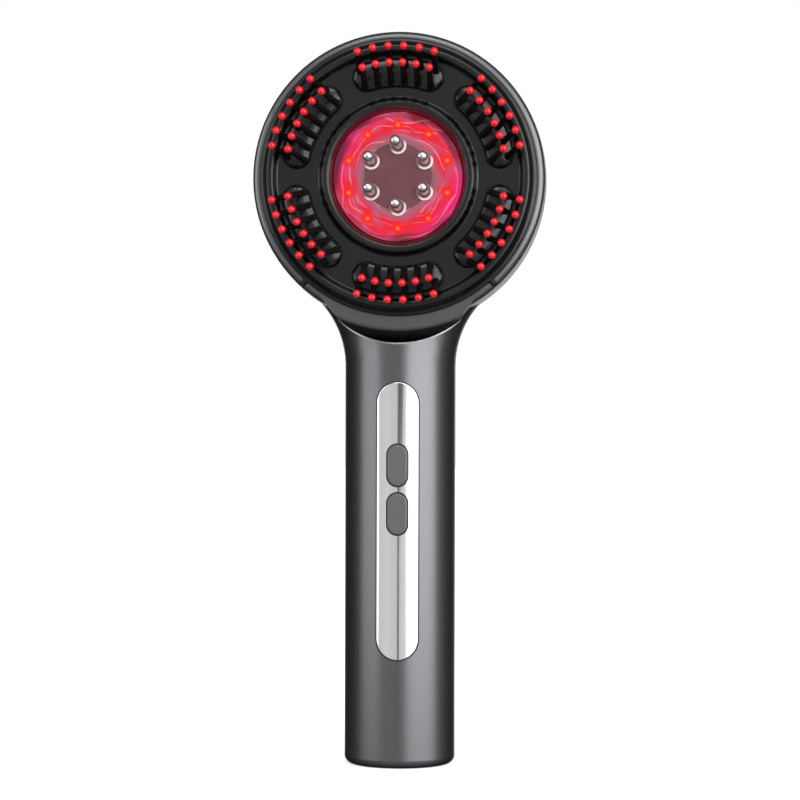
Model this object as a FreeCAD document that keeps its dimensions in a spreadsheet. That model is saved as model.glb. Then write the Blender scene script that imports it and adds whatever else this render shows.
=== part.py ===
import FreeCAD, Part
import Sketcher
import math
import os
import re

# A cordless scalp massage brush: a round comb head on a straight tubular handle.
# The foot of the handle stands on Z = 0, the handle runs up along Z and the combs face -Y.
# Places are given as (across, forward, up): forward is the distance in front of the
# handle's axis, so it is -Y.

doc = FreeCAD.newDocument("ScalpMassageBrush")
sizes = doc.addObject("Spreadsheet::Sheet", "Sizes")

SIZES = (
    # Outer form
    ("head_height", 148.8, "foot of the handle to the centre of the round head"),
    ("head_radius", 37.25, "widest radius of the head's barrel wall"),
    ("barrel_bulge", 0.4, "how far the barrel wall swells beyond its rims"),
    ("rim_front", 13.0, "front rim of the barrel in front of the handle's axis"),
    ("rim_wall", 2.2, "wall of the barrel at its rim"),
    ("rim_round", 1.6, "rounded outer edge of the front rim"),
    ("head_back", 18.0, "flat back of the head behind the handle's axis"),
    ("back_shoulder", 6.25, "rounded shoulder around the flat back"),
    ("back_curve", 0.8, "roundness of that shoulder, radius as a share of its chord"),
    ("back_wall", 2.0, "thickness of the flat back"),
    ("handle_radius", 14.1, "outer radius of the handle"),
    ("shell_wall", 1.8, "wall of the handle and neck"),
    ("foot_round", 2.1, "rounded lower edge of the handle"),
    ("foot_floor", 2.0, "floor at the foot of the handle"),
    ("foot_ledge", 1.6, "ledge around the end cap's hole in the floor"),
    ("flare_radius", 24.0, "hollow that leads the handle into the head"),
    ("flare_sink", 0.45, "how far the end of that hollow runs into the barrel"),
    ("lip_over", 8.9, "arc of the lip where the handle ends, beyond the handle's radius"),
    ("lip_rise", 5.8, "lowest point of the lip above the lower end of the flare"),
    ("lip_edge", 0.38, "bevelled edge of the lip, down its front"),
    ("lip_edge_back", 0.16, "the same bevel, back along the top of the lip"),
    ("valley_floor", 6.0, "floor of the groove behind the lip, in front of the axis"),
    ("chin_round", 3.3, "rounded lower edge of the chin, which follows the head's outline"),
    ("chin_gap", 0.4, "groove between the chin and the lip at its floor"),
    # Fits
    ("running_gap", 0.3, "clear gap around a piece that comes off"),
    ("guide_gap", 0.3, "gap around a button in its hole"),
    ("pin_gap", 0.08, "radial play of a pin, plug or plunger in its guide"),
    ("seat_gap", 0.1, "gap around a piece set into a seat"),
    # Screws and bosses of the head
    ("boss_radius", 3.6, "screw boss or pillar"),
    ("boss_overlap", 0.2, "how far a boss runs into the barrel wall"),
    ("screw_radius", 1.25, "shell screw shank"),
    ("screw_head_radius", 2.5, "shell screw head"),
    ("screw_head_height", 1.8, "shell screw head"),
    ("screw_head_depth", 2.7, "screw head below the back of the head"),
    ("screw_reach", 4.0, "tip of a shell screw in front of the split"),
    ("frame_screw_radius", 1.0, "frame screw shank"),
    ("frame_screw_head_radius", 2.0, "frame screw head"),
    ("frame_screw_head_height", 1.4, "frame screw head"),
    ("frame_screw_length", 6.2, "frame screw below its head"),
    # Comb plate
    ("window_share", 0.434, "window's radius as a share of the head's"),
    ("plate_inset", 1.9, "edge of the comb plate inside the barrel's rim"),
    ("plate_edge_rise", 1.6, "comb plate's edge in front of the rim"),
    ("plate_edge_slope", 0.15, "rise of the comb plate's edge up to its crest"),
    ("plate_rise", 2.2, "flat face of the comb plate in front of the rim"),
    ("plate_floor", 1.8, "thickness of the comb plate's face"),
    ("crest_height", 2.0, "outer crest in front of the flat face"),
    ("crest_inset", 2.8, "middle of the outer crest inside the plate's edge"),
    ("crest_width", 1.6, "flat width of the outer crest"),
    ("crest_slope_outside", 1.0, "slope outside the crest"),
    ("crest_slope_inside", 0.7, "slope inside the crest"),
    ("crest_round", 0.7, "rounding of the crest and of the ring around the window"),
    ("collar_height", 1.8, "ring around the window in front of the flat face"),
    ("collar_inset", 2.08, "middle of that ring outside the window"),
    ("collar_width", 1.5, "flat width of that ring"),
    ("collar_slope", 0.8, "slope outside that ring"),
    ("skirt_length", 3.0, "skirt of the comb plate inside the barrel"),
    ("skirt_wall", 1.6, "wall of that skirt"),
    ("catch_angle", 42.0, "catches of the plate, degrees to each side of straight down"),
    ("catch_width", 0.9, "width of a catch"),
    ("catch_inset", 0.75, "outer end of a catch inside the outside of the rim"),
    # Comb pads and their bristles
    ("pad_share", 0.3315, "half of a comb pad's width as a share of the flat face"),
    ("pad_out", 0.86, "pads further out than the middle of the plate's face"),
    ("pad_end_angle", 17.5, "middle of a pad's rounded end, degrees from its centre"),
    ("pad_height", 1.8, "comb pad in front of the flat face"),
    ("pad_round", 1.1, "rounded edge of a comb pad"),
    ("pad_flange", 0.8, "flange of a pad behind the plate"),
    ("pad_flange_depth", 1.0, "thickness of that flange"),
    ("pad_window_gap", 0.12, "gap around a pad in its window"),
    ("bristle_angle", 7.05, "degrees between neighbouring bristle tips"),
    ("inner_row_share", 0.625, "inner row of bristles, share of a pad's half width from its centre line"),
    ("outer_row_share", 0.51, "outer row of bristles, share of a pad's half width from its centre line"),
    ("bristle_lean", 17.0, "outward lean of the bristles, degrees"),
    ("bristle_reach", 11.0, "ball centres in front of the pad"),
    ("bristle_root", 1.0, "bristle root below the front of the pad"),
    ("bristle_base_radius", 0.78, "stem at its root"),
    ("bristle_tip_radius", 0.62, "stem at its ball"),
    ("ball_radius", 0.97, "ball at the tip of a bristle"),
    # Window, lights and dispensing pins
    ("window_rise", 0.4, "front of the clear window in front of the flat face"),
    ("window_depth", 2.0, "thickness of the clear window"),
    ("disc_overlap", 0.75, "edge of the smoky disc outside the circle of pins"),
    ("disc_depth", 0.4, "thickness of the smoky disc"),
    ("pin_share", 0.478, "circle of the pins as a share of the window's radius"),
    ("pin_margin", 2.62, "edge of the valve block outside the circle of pins"),
    ("pin_radius", 1.05, "pin stem"),
    ("pin_ball_radius", 1.3, "ball at the tip of a pin"),
    ("pin_reach", 15.4, "tip of a pin in front of the window"),
    ("pin_flange_play", 0.25, "gap around a pin's flange in its chamber"),
    ("pin_flange_depth", 0.8, "thickness of a pin's flange"),
    ("pin_collar_radius", 2.14, "collar around a pin"),
    ("pin_collar_rise", 0.8, "front of that collar in front of the window"),
    ("chamber_radius", 2.0, "spring chamber of a pin"),
    ("chamber_roof", 1.2, "roof of the spring chamber"),
    ("spring_wire", 0.4, "wire of a pin's spring"),
    ("spring_play", 0.35, "gap around a pin's spring"),
    ("spring_turns", 4.0, "turns of a pin's spring"),
    ("flow_hole_radius", 0.6, "flow hole behind each pin"),
    ("cup_wall", 1.3, "outer wall of the light cup"),
    ("cup_inner_wall", 0.7, "inner wall of the light cup"),
    ("cup_floor", 1.0, "floor of the light cup"),
    ("led_board_depth", 1.2, "thickness of the lights' ring board"),
    ("led_size", 2.0, "side of a light"),
    ("led_depth", 1.0, "height of a light"),
    # Frame and tank of the head
    ("frame_set_back", 5.0, "front of the head frame behind the rim"),
    ("frame_depth", 1.6, "thickness of the head frame"),
    ("tank_margin", 4.6, "liquid tank's wall outside the valve block"),
    ("tank_wall", 1.5, "wall of the liquid tank"),
    ("lid_depth", 1.5, "thickness of the tank's lid"),
    ("gasket_depth", 0.8, "thickness of the tank's gasket"),
    ("gasket_width", 3.0, "width of the tank's gasket"),
    ("filler_radius", 3.0, "bore of the tank's filler neck"),
    ("filler_wall", 1.6, "wall of the filler neck"),
    ("filler_length", 6.0, "length of the filler neck"),
    ("plug_head_radius", 6.0, "head of the filler plug"),
    ("plug_pocket", 1.0, "pocket for the plug's head"),
    ("plug_proud", 0.8, "plug's head behind the back of the head"),
    ("plug_length", 6.0, "plug's stem below its head"),
    ("plug_round", 0.6, "rounded edge of the plug's head"),
    # Handle: strip, buttons, board
    ("strip_width", 10.55, "width of the bright control strip"),
    ("strip_length", 70.0, "length of the control strip"),
    ("strip_drop", 9.85, "upper end of the control strip below the lip"),
    ("strip_proud", 0.4, "front of the control strip in front of the handle"),
    ("strip_sunk", 1.1, "seat of the control strip in the handle"),
    ("strip_round", 0.3, "rounded edge of the control strip"),
    ("strip_groove", 0.22, "groove around the control strip"),
    ("button_width", 5.1, "width of a button"),
    ("button_length", 10.45, "length of a button"),
    ("button_proud", 0.8, "front of a button in front of the strip"),
    ("button_round", 0.6, "rounded edge of a button"),
    ("power_button_rise", 14.05, "upper button above the middle of the strip"),
    ("mode_button_rise", 1.85, "lower button above the middle of the strip"),
    ("button_flange", 0.5, "flange that keeps a button in"),
    ("button_travel", 0.6, "how far a button can be pressed"),
    ("button_stop", 0.5, "gap left behind a pressed button"),
    ("board_inset", 4.6, "front of the main board behind the bore of the handle"),
    ("board_depth", 1.2, "thickness of the main board"),
    ("board_width", 14.0, "width of the main board"),
    ("board_lift", 0.2, "lower end of the main board above the end cap"),
    ("board_overlap", 8.0, "upper end of the main board beside the motor"),
    ("switch_size", 6.0, "side of a push switch"),
    ("switch_depth", 1.8, "height of a push switch"),
    ("switch_floor", 0.3, "floor of a push switch"),
    ("plunger_radius", 1.4, "plunger of a push switch"),
    ("plunger_sunk", 0.8, "plunger inside the switch at rest"),
    # Handle: battery, socket, foot, motor
    ("battery_radius", 7.0, "battery cell"),
    ("battery_bottom", 14.0, "lower end of the battery cell"),
    ("motor_gap", 18.65, "lower end of the motor above the battery cradle"),
    ("battery_web", 1.0, "battery cradle between the cell and the board"),
    ("nub_radius", 2.75, "battery terminal nub"),
    ("nub_height", 1.2, "battery terminal nub"),
    ("cradle_wall", 2.0, "end walls of the battery cradle"),
    ("cradle_wrap", 2.4, "rear of the battery cradle behind the cell's axis"),
    ("socket_width", 8.94, "charging socket"),
    ("socket_depth", 3.26, "charging socket"),
    ("socket_wall", 0.3, "metal of the charging socket"),
    ("socket_bottom", 0.4, "mouth of the charging socket above the foot"),
    ("socket_length", 7.3, "length of the charging socket"),
    ("cap_play", 0.2, "gap around the end cap's flange"),
    ("cap_flange_depth", 1.5, "thickness of that flange"),
    ("motor_radius", 6.0, "motor can"),
    ("motor_length", 20.0, "motor can"),
    ("motor_drop", 16.3, "lower end of the motor below the flare"),
    ("mount_rise", 2.5, "rubber mount above the lower end of the motor"),
    ("mount_length", 12.0, "length of the motor's rubber mount"),
    ("shaft_radius", 1.0, "motor shaft"),
    ("shaft_length", 10.0, "motor shaft above the can"),
    ("shaft_sunk", 6.0, "motor shaft inside the can"),
    ("weight_radius", 5.5, "eccentric weight"),
    ("weight_length", 6.0, "eccentric weight"),
    ("weight_lift", 2.5, "eccentric weight above the can"),
    ("weight_span", 200.0, "sector of the eccentric weight, degrees"),
    ("weight_play", 1.3, "gap around the eccentric weight"),
    ("passage_wall", 0.4, "wall left in front of the opening between neck and head"),
)
ALIASES = {alias for alias, number, note in SIZES}
for row, (alias, number, note) in enumerate(SIZES, start=1):
    sizes.set("A%d" % row, note)
    sizes.set("B%d" % row, str(number))
    sizes.setAlias("B%d" % row, alias)
doc.recompute()

# Sizes and places that follow from the sheet
FOLLOWS = {
    "rim_radius": "head_radius - barrel_bulge",
    "bore_radius": "rim_radius - rim_wall",
    "back_flat_radius": "rim_radius - back_shoulder",
    "flare_middle": "handle_radius + flare_radius",
    "flare_reach": "head_radius - flare_sink + flare_radius",
    "flare_bottom": "head_height - sqrt(flare_reach^2 - flare_middle^2)",
    "flare_angle": "acos(flare_middle / flare_reach)",
    "lip_radius": "handle_radius + lip_over",
    "lip_height": "flare_bottom + lip_rise + lip_radius",
    "chin_space": "lip_radius - chin_gap",
    "chin_radius": "head_height - lip_height + chin_space",
    "handle_bore": "handle_radius - shell_wall",
    "boss_circle": "bore_radius - boss_radius + boss_overlap",
    "screw_circle": "boss_circle - 2 * boss_radius - 2 * seat_gap",
    "screw_seat": "-head_back + screw_head_depth + screw_head_height",
    "plate_radius": "rim_radius - plate_inset",
    "plate_edge": "rim_front + plate_edge_rise",
    "plate_face": "rim_front + plate_rise",
    "plate_back": "plate_face - plate_floor",
    "crest_front": "plate_face + crest_height",
    "crest_radius": "plate_radius - crest_inset",
    "collar_front": "plate_face + collar_height",
    "collar_radius": "window_radius + collar_inset",
    "collar_foot": "collar_radius + collar_width / 2 + collar_slope",
    "crest_foot_inner": "crest_radius - crest_width / 2 - crest_slope_inside",
    "crest_foot_outer": "crest_radius + crest_width / 2 + crest_slope_outside",
    "skirt_back": "rim_front - skirt_length",
    "catch_out": "rim_radius - catch_inset",
    "comb_face": "crest_foot_inner - collar_foot",
    "pad_radius": "(crest_foot_inner + collar_foot) / 2 + pad_out",
    "pad_half_width": "comb_face * pad_share",
    "pad_front": "plate_face + pad_height",
    "bristle_front": "pad_front + bristle_reach",
    "bristle_shift": "bristle_reach * tan(1 deg * bristle_lean)",
    "inner_row_radius": "pad_radius - pad_half_width * inner_row_share + bristle_shift",
    "outer_row_radius": "pad_radius + pad_half_width * outer_row_share + bristle_shift",
    "window_radius": "head_radius * window_share",
    "window_front": "plate_face + window_rise",
    "window_back": "window_front - window_depth",
    "pin_circle": "window_radius * pin_share",
    "block_radius": "pin_circle + pin_margin",
    "block_hole": "block_radius + seat_gap",
    "pin_tip": "window_front + pin_reach",
    "pin_ball": "pin_tip - pin_ball_radius",
    "pin_flange_radius": "chamber_radius - pin_flange_play",
    "pin_collar_front": "window_front + pin_collar_rise",
    "chamber_front": "window_back - chamber_roof",
    "pin_shoulder": "chamber_front - seat_gap",
    "pin_back": "pin_shoulder - pin_flange_depth",
    "spring_radius": "chamber_radius - spring_play - spring_wire / 2",
    "cup_inside": "window_radius - cup_wall",
    "cup_inner": "block_hole + cup_inner_wall",
    "led_circle": "(cup_inside + cup_inner) / 2",
    "frame_front": "rim_front - frame_set_back",
    "frame_back": "frame_front - frame_depth",
    "led_board_back": "frame_front + cup_floor",
    "led_board_front": "led_board_back + led_board_depth",
    "lid_back": "frame_back - lid_depth",
    "gasket_back": "lid_back - gasket_depth",
    "tank_radius": "block_radius + tank_margin",
    "tank_back": "head_back - back_wall - filler_length",
    "strip_radius": "handle_radius + strip_proud",
    "strip_seat": "handle_radius - strip_sunk",
    "strip_middle": "lip_height - lip_radius - strip_drop - strip_length / 2",
    "power_button_height": "strip_middle + power_button_rise",
    "mode_button_height": "strip_middle + mode_button_rise",
    "button_front": "strip_radius + button_proud",
    "board_front": "handle_bore - board_inset",
    "board_back": "board_front - board_depth",
    "switch_front": "board_front + switch_depth",
    "button_back": "switch_front + button_travel + button_stop",
    "button_flange_front": "button_back + button_flange",
    "cap_hole_radius": "handle_bore - foot_ledge",
    "cap_top": "foot_floor + cap_flange_depth",
    "board_bottom": "cap_top + board_lift",
    "board_top": "motor_bottom + board_overlap",
    "socket_forward": "board_back - socket_depth / 2",
    "battery_back": "battery_radius + battery_web - board_back",
    "battery_top": "cradle_top - cradle_wall - nub_height",
    "cradle_back": "battery_back + cradle_wrap",
    "cradle_bottom": "battery_bottom - cradle_wall",
    "cradle_top": "motor_bottom - motor_gap",
    "passage_radius": "weight_radius + weight_play",
    "motor_back": "passage_radius + passage_wall + shell_wall - valley_floor",
    "motor_bottom": "flare_bottom - motor_drop",
    "motor_top": "motor_bottom + motor_length",
    "mount_bottom": "motor_bottom + mount_rise",
    "mount_top": "mount_bottom + mount_length",
    "weight_bottom": "motor_top + weight_lift",
    "weight_top": "weight_bottom + weight_length",
}

PIN_COUNT = 6
PAD_COUNT = 6
LED_COUNT = 10
BRISTLES_PER_ROW = 6
BOSS_ANGLES = (45, 135, 225, 315)
NECK_STEPS = 6
SPRING_SEGMENT = 0.25
FORWARD = FreeCAD.Rotation(FreeCAD.Vector(1, 0, 0), 90)
UPRIGHT = FreeCAD.Rotation()

nodes = []


def tied(formula):
    """Turn a formula in words into an expression on the sheet."""
    def spelled(word):
        word = word.group()
        if word in FOLLOWS:
            return "(%s)" % tied(FOLLOWS[word])
        return "Sizes." + word if word in ALIASES else word
    return re.sub(r"[a-z_]+", spelled, formula)


def value(formula):
    """The number that a formula gives now."""
    found = sizes.evalExpression(tied(formula))
    return float(getattr(found, "Value", found))


def bind(thing, **formulas):
    """Tie properties of an object to the sheet."""
    for name, formula in formulas.items():
        thing.setExpression(name, tied(formula))


def place(thing, across="0", forward="0", up="0", turn=UPRIGHT):
    """Turn an object, then tie its position to the sheet."""
    thing.Placement = FreeCAD.Placement(FreeCAD.Vector(), turn)
    for axis, formula in (("x", across), ("y", "-(%s)" % forward), ("z", up)):
        if formula not in ("0", "-(0)"):
            thing.setExpression("Placement.Base." + axis, tied(formula))
    return thing


def around(radius, angle):
    """Across and up of a point on the head, at an angle from straight up."""
    return "(%s) * sin(%g deg)" % (radius, angle), "head_height + (%s) * cos(%g deg)" % (radius, angle)


def pin_spots():
    """Across and up of each dispensing pin."""
    return [around("pin_circle", 360 / PIN_COUNT * pin) for pin in range(PIN_COUNT)]


def node(thing, label):
    """Keep an object as one piece of the brush."""
    thing.Label = label
    nodes.append(thing)
    return thing


def rod(name, radius, rear, front, across="0", up="head_height"):
    """A round solid along the combs' direction."""
    made = doc.addObject("Part::Cylinder", name)
    bind(made, Radius=radius, Height="(%s) - (%s)" % (front, rear))
    return place(made, across, rear, up, FORWARD)


def post(name, radius, bottom, top, forward="0"):
    """A round solid along the handle's direction."""
    made = doc.addObject("Part::Cylinder", name)
    bind(made, Radius=radius, Height="(%s) - (%s)" % (top, bottom))
    return place(made, "0", forward, bottom)


def block(name, width, rear, front, bottom, top):
    """A box that is centred across."""
    made = doc.addObject("Part::Box", name)
    bind(made, Length=width, Width="(%s) - (%s)" % (front, rear), Height="(%s) - (%s)" % (top, bottom))
    return place(made, "-(%s) / 2" % width, front, bottom)


def fuse(name, *pieces):
    """One solid from several."""
    made = doc.addObject("Part::MultiFuse", name)
    made.Shapes = list(pieces)
    made.Refine = True
    return made


def group(name, pieces):
    """Separate solids of one kind, kept together."""
    made = doc.addObject("Part::Compound", name)
    made.Links = list(pieces)
    return made


def cut(name, base, *tools):
    """A solid with others taken away."""
    made = doc.addObject("Part::Cut", name)
    made.Base = base
    made.Tool = tools[0] if len(tools) == 1 else fuse(name + "_tools", *tools)
    return made


def common(name, first, second):
    """What two solids share."""
    made = doc.addObject("Part::MultiCommon", name)
    made.Shapes = [first, second]
    return made


def stadium(name, width, length, rear, front, middle):
    """An upright bar with round ends, seen from the front."""
    half_width = "(%s) / 2" % width
    low = "(%s) - (%s) / 2 + %s" % (middle, length, half_width)
    high = "(%s) + (%s) / 2 - %s" % (middle, length, half_width)
    bar = block(name + "_bar", width, rear, front, low, high)
    ends = [rod(name + "_end", half_width, rear, front, "0", up) for up in (low, high)]
    return fuse(name, bar, *ends)


def softened(kind, name, base, size, chosen, second=None):
    """Round (Fillet) or bevel (Chamfer) the edges of a solid that a test chooses."""
    doc.recompute()
    made = doc.addObject("Part::" + kind, name)
    made.Base = base
    amounts = (value(size), value(second or size))
    made.Edges = [(count,) + amounts for count, edge in enumerate(base.Shape.Edges, start=1) if chosen(edge)]
    return made


def at_front(front):
    """A test for edges that lie in one plane across the combs' direction."""
    level = -value(front)
    return lambda edge: all(abs(side - level) < 1e-4 for side in (edge.BoundBox.YMin, edge.BoundBox.YMax))


def draw(sketch, corners):
    """A closed outline: corners of (x, y), or (x, y, radius) to bulge outwards up to the next corner."""
    points = [FreeCAD.Vector(value(corner[0]), value(corner[1]), 0) for corner in corners]
    count = len(points)
    turning = sum(points[i - 1].x * points[i].y - points[i].x * points[i - 1].y for i in range(count))
    ends = []
    for i, corner in enumerate(corners):
        start, end = points[i], points[(i + 1) % count]
        if len(corner) == 2:
            ends.append((sketch.addGeometry(Part.LineSegment(start, end)), 1, 2))
            continue
        radius = value(corner[2])
        chord = end - start
        outward = FreeCAD.Vector(chord.y, -chord.x, 0).normalize() * (1 if turning > 0 else -1)
        middle = (start + end) * 0.5 - outward * math.sqrt(radius ** 2 - chord.Length ** 2 / 4)
        angles = [math.atan2(point.y - middle.y, point.x - middle.x) for point in (start, end)]
        circle = Part.Circle(middle, FreeCAD.Vector(0, 0, 1), radius)
        if turning > 0:
            ends.append((sketch.addGeometry(Part.ArcOfCircle(circle, angles[0], angles[1])), 1, 2))
        else:
            ends.append((sketch.addGeometry(Part.ArcOfCircle(circle, angles[1], angles[0])), 2, 1))
    for i, corner in enumerate(corners):
        edge, first, last = ends[i]
        before = ends[i - 1]
        sketch.addConstraint(Sketcher.Constraint("Coincident", before[0], before[2], edge, first))
        for kind, formula, axis in (("DistanceX", corner[0], -2), ("DistanceY", corner[1], -1)):
            if abs(value(formula)) < 1e-9:
                sketch.addConstraint(Sketcher.Constraint("PointOnObject", edge, first, axis))
                continue
            held = sketch.addConstraint(Sketcher.Constraint(kind, -1, 1, edge, first, value(formula)))
            sketch.setExpression("Constraints[%d]" % held, tied(formula))
        if len(corner) > 2:
            held = sketch.addConstraint(Sketcher.Constraint("Radius", edge, value(corner[2])))
            sketch.setExpression("Constraints[%d]" % held, tied(corner[2]))


def turned(name, corners, along="forward", across="0", forward="0", up="0"):
    """A body turned about the combs' direction or the handle's, from (radius, distance) corners."""
    body = doc.addObject("PartDesign::Body", name)
    sketch = body.newObject("Sketcher::SketchObject", name + "_profile")
    role = "XY_Plane" if along == "forward" else "XZ_Plane"
    plane = [feature for feature in body.Origin.OriginFeatures if feature.Role == role][0]
    sketch.AttachmentSupport = [(plane, "")]
    sketch.MapMode = "FlatFace"
    if along == "forward":
        corners = [(corner[0], "-(%s)" % corner[1]) + tuple(corner[2:]) for corner in corners]
    draw(sketch, corners)
    turn = body.newObject("PartDesign::Revolution", name + "_turn")
    turn.Profile = sketch
    turn.ReferenceAxis = (sketch, ["V_Axis"])
    turn.Angle = 360
    place(body, across, forward, up)
    return body


def rounded(body, radius, spots):
    """Round the ring edges of a turned body at (radius, forward) spots."""
    doc.recompute()
    base = body.Tip
    wanted = [(value(ring), -value(front)) for ring, front in spots]
    chosen = []
    for count, edge in enumerate(base.Shape.Edges, start=1):
        if isinstance(edge.Curve, Part.Circle):
            here = (edge.Curve.Radius, edge.Curve.Center.y)
            if any(abs(here[0] - ring) + abs(here[1] - level) < 1e-4 for ring, level in wanted):
                chosen.append("Edge%d" % count)
    fillet = body.newObject("PartDesign::Fillet", body.Name + "_rounding")
    fillet.Base = (base, chosen)
    bind(fillet, Radius=radius)
    return body


def neck(name, inset):
    """The flared neck as a loft of ellipses, each an inset smaller than the outer form."""
    rings = []
    for step in range(NECK_STEPS + 1):
        angle = "flare_angle * %g" % (step / NECK_STEPS)
        ring = doc.addObject("Part::Ellipse", name + "_ring")
        bind(ring, MajorRadius="handle_radius - (%s) + flare_radius * (1 - cos(%s))" % (inset, angle),
             MinorRadius="handle_radius - (%s)" % inset)
        rings.append(place(ring, up="flare_bottom + flare_radius * sin(%s)" % angle))
    made = doc.addObject("Part::Loft", name)
    made.Sections = rings
    made.Solid = True
    made.Ruled = False
    return made


def four(name, radius, rear, front, circle):
    """Four round solids at the screws of the head."""
    return [rod(name, radius, rear, front, *around(circle, angle)) for angle in BOSS_ANGLES]


def lip_line(edge):
    """A test for the outer edge of the lip, which runs across the front of the neck."""
    reach, height, floor = value("lip_radius"), value("lip_height"), -value("valley_floor")
    if not (edge.BoundBox.XMin < 0 < edge.BoundBox.XMax and edge.BoundBox.YMin < floor - 1e-3):
        return False
    return all(abs(math.hypot(point.x, point.z - height) - reach) < 1e-3 for point in edge.discretize(5))


def housing():
    """The whole outer wall of handle, neck and head, before it is split."""
    handle = turned("handle_form", [
        ("0", "0"), ("handle_radius - foot_round", "0", "foot_round"), ("handle_radius", "foot_round"),
        ("handle_radius", "flare_bottom"), ("0", "flare_bottom")], along="up")
    outside = fuse("handle_outside", handle, neck("neck_form", "0"))
    scoop = rod("lip_scoop", "lip_radius", "valley_floor", "handle_radius * 2", "0", "lip_height")
    outside = softened("Chamfer", "lip_bevel", cut("handle_cut", outside, scoop), "lip_edge", lip_line,
                       "lip_edge_back")
    bore = post("handle_bore", "handle_bore", "foot_floor", "flare_bottom")
    inside = fuse("handle_inside", bore, neck("neck_bore", "shell_wall"))
    lip_wall = rod("lip_wall", "lip_radius + shell_wall", "valley_floor - shell_wall", "handle_radius * 2",
                   "0", "lip_height")
    tube = cut("handle_tube", outside, cut("handle_hollow", inside, lip_wall))
    barrel = turned("barrel_form", [
        ("0", "rim_front"), ("rim_radius - rim_round", "rim_front", "rim_round"),
        ("rim_radius", "rim_front - rim_round",
         "((rim_front - rim_round / 2)^2 + barrel_bulge^2) / (2 * barrel_bulge)"),
        ("rim_radius", "-rim_front", "back_curve * sqrt(back_shoulder^2 + (head_back - rim_front)^2)"),
        ("back_flat_radius", "-head_back"), ("0", "-head_back")], up="head_height")
    chin_floor = "valley_floor - shell_wall / 2"
    chin = common("chin", turned("chin_form", [
        ("0", "rim_front"), ("chin_radius - chin_round", "rim_front", "chin_round"),
        ("chin_radius", "rim_front - chin_round"), ("chin_radius", chin_floor), ("0", chin_floor)],
        up="head_height"), rod("chin_space", "chin_space", chin_floor, "rim_front", "0", "lip_height"))
    hollow = turned("barrel_bore", [
        ("0", "rim_front + plate_floor"), ("bore_radius", "rim_front + plate_floor"),
        ("bore_radius", "-rim_front + back_wall"), ("back_flat_radius", "-head_back + back_wall"),
        ("0", "-head_back + back_wall")], up="head_height")
    passage = post("neck_passage", "passage_radius", "flare_bottom", "head_height - bore_radius / 2",
                   "-motor_back")
    foot_hole = post("foot_hole", "cap_hole_radius", "-foot_floor", "foot_floor * 2")
    return cut("housing", fuse("housing_form", tube, barrel, chin), hollow, passage, foot_hole)


def half(name, wall, rear, front):
    """One half of the housing."""
    return common(name, wall, block(name + "_space", "head_radius * 3", rear, front, "-foot_round",
                                    "head_height + head_radius * 2"))


def front_shell(wall):
    """Front half: strip seat, button holes, notches for the comb plate's catches, screw bosses."""
    bar = stadium("strip_seat_bar", "strip_width + 2 * strip_groove", "strip_length + 2 * strip_groove", "0",
                  "handle_radius * 2", "strip_middle")
    seat = cut("strip_seat_tool", bar, post("strip_seat_core", "strip_seat", "0", "head_height"))
    holes = [button_hole("shell_button_hole", up) for up in ("power_button_height", "mode_button_height")]
    bosses = four("frame_boss", "boss_radius", "0", "frame_back", "boss_circle")
    pilots = four("frame_pilot", "frame_screw_radius", "frame_front - frame_screw_length", "frame_back",
                  "boss_circle")
    notches = catches("catch_notch", "catch_width + 2 * guide_gap", "skirt_back - running_gap",
                      "rim_front * 2", "catch_out + guide_gap")
    shell = fuse("front_wall", half("front_half", wall, "0", "head_radius"), *bosses)
    node(cut("front_shell", shell, seat, *holes, *pilots, *notches), "front_shell")


def rear_shell(wall):
    """Rear half: four pillars with sunk screw heads and the pocket of the filler plug."""
    pillars = four("rear_pillar", "boss_radius", "-head_back + back_wall / 2", "0", "screw_circle")
    sinks = four("screw_sink", "screw_head_radius + running_gap", "-head_back * 2", "screw_seat",
                 "screw_circle")
    holes = four("screw_hole", "screw_radius + seat_gap", "screw_seat", "screw_reach", "screw_circle")
    pocket = rod("plug_pocket", "plug_head_radius + running_gap", "-head_back * 2",
                 "-head_back + plug_pocket")
    mouth = rod("plug_mouth", "filler_radius", "-head_back", "-head_back + back_wall * 2")
    shell = fuse("rear_wall", half("rear_half", wall, "-head_radius", "0"), *pillars)
    node(cut("rear_shell", shell, *sinks, *holes, pocket, mouth), "rear_shell")


def shell_screws():
    """Four screws from the back of the head into the pillars of the frame."""
    made = []
    head_back = "screw_seat - screw_head_height"
    for angle in BOSS_ANGLES:
        spot = around("screw_circle", angle)
        shank = rod("screw_shank", "screw_radius", "screw_seat", "screw_reach", *spot)
        head = rod("screw_head", "screw_head_radius", head_back, "screw_seat", *spot)
        recess = rod("screw_recess", "screw_radius", head_back, "screw_seat - screw_head_height / 2", *spot)
        made.append(cut("shell_screw", fuse("screw_form", shank, head), recess))
    node(group("shell_screws", made), "shell_screws")


def head_frame():
    """Plate across the head: lights in front, tank behind, pillars for the rear shell's screws."""
    plate = rod("frame_plate", "bore_radius - running_gap", "frame_back", "frame_front")
    pillars = four("frame_pillar", "boss_radius", "0", "frame_back", "screw_circle")
    pilots = four("screw_pilot", "screw_radius", "0", "screw_reach", "screw_circle")
    middle = rod("frame_hole", "block_hole", "0", "rim_front")
    holes = four("frame_screw_hole", "frame_screw_radius", "0", "rim_front", "boss_circle")
    node(cut("head_frame", fuse("frame_form", plate, *pillars), middle, *pilots, *holes), "head_frame")
    screws = []
    for angle in BOSS_ANGLES:
        spot = around("boss_circle", angle)
        shank = rod("frame_shank", "frame_screw_radius", "frame_front - frame_screw_length", "frame_front",
                    *spot)
        head = rod("frame_head", "frame_screw_head_radius", "frame_front",
                   "frame_front + frame_screw_head_height", *spot)
        screws.append(fuse("frame_screw", shank, head))
    node(group("frame_screws", screws), "frame_screws")


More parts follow.
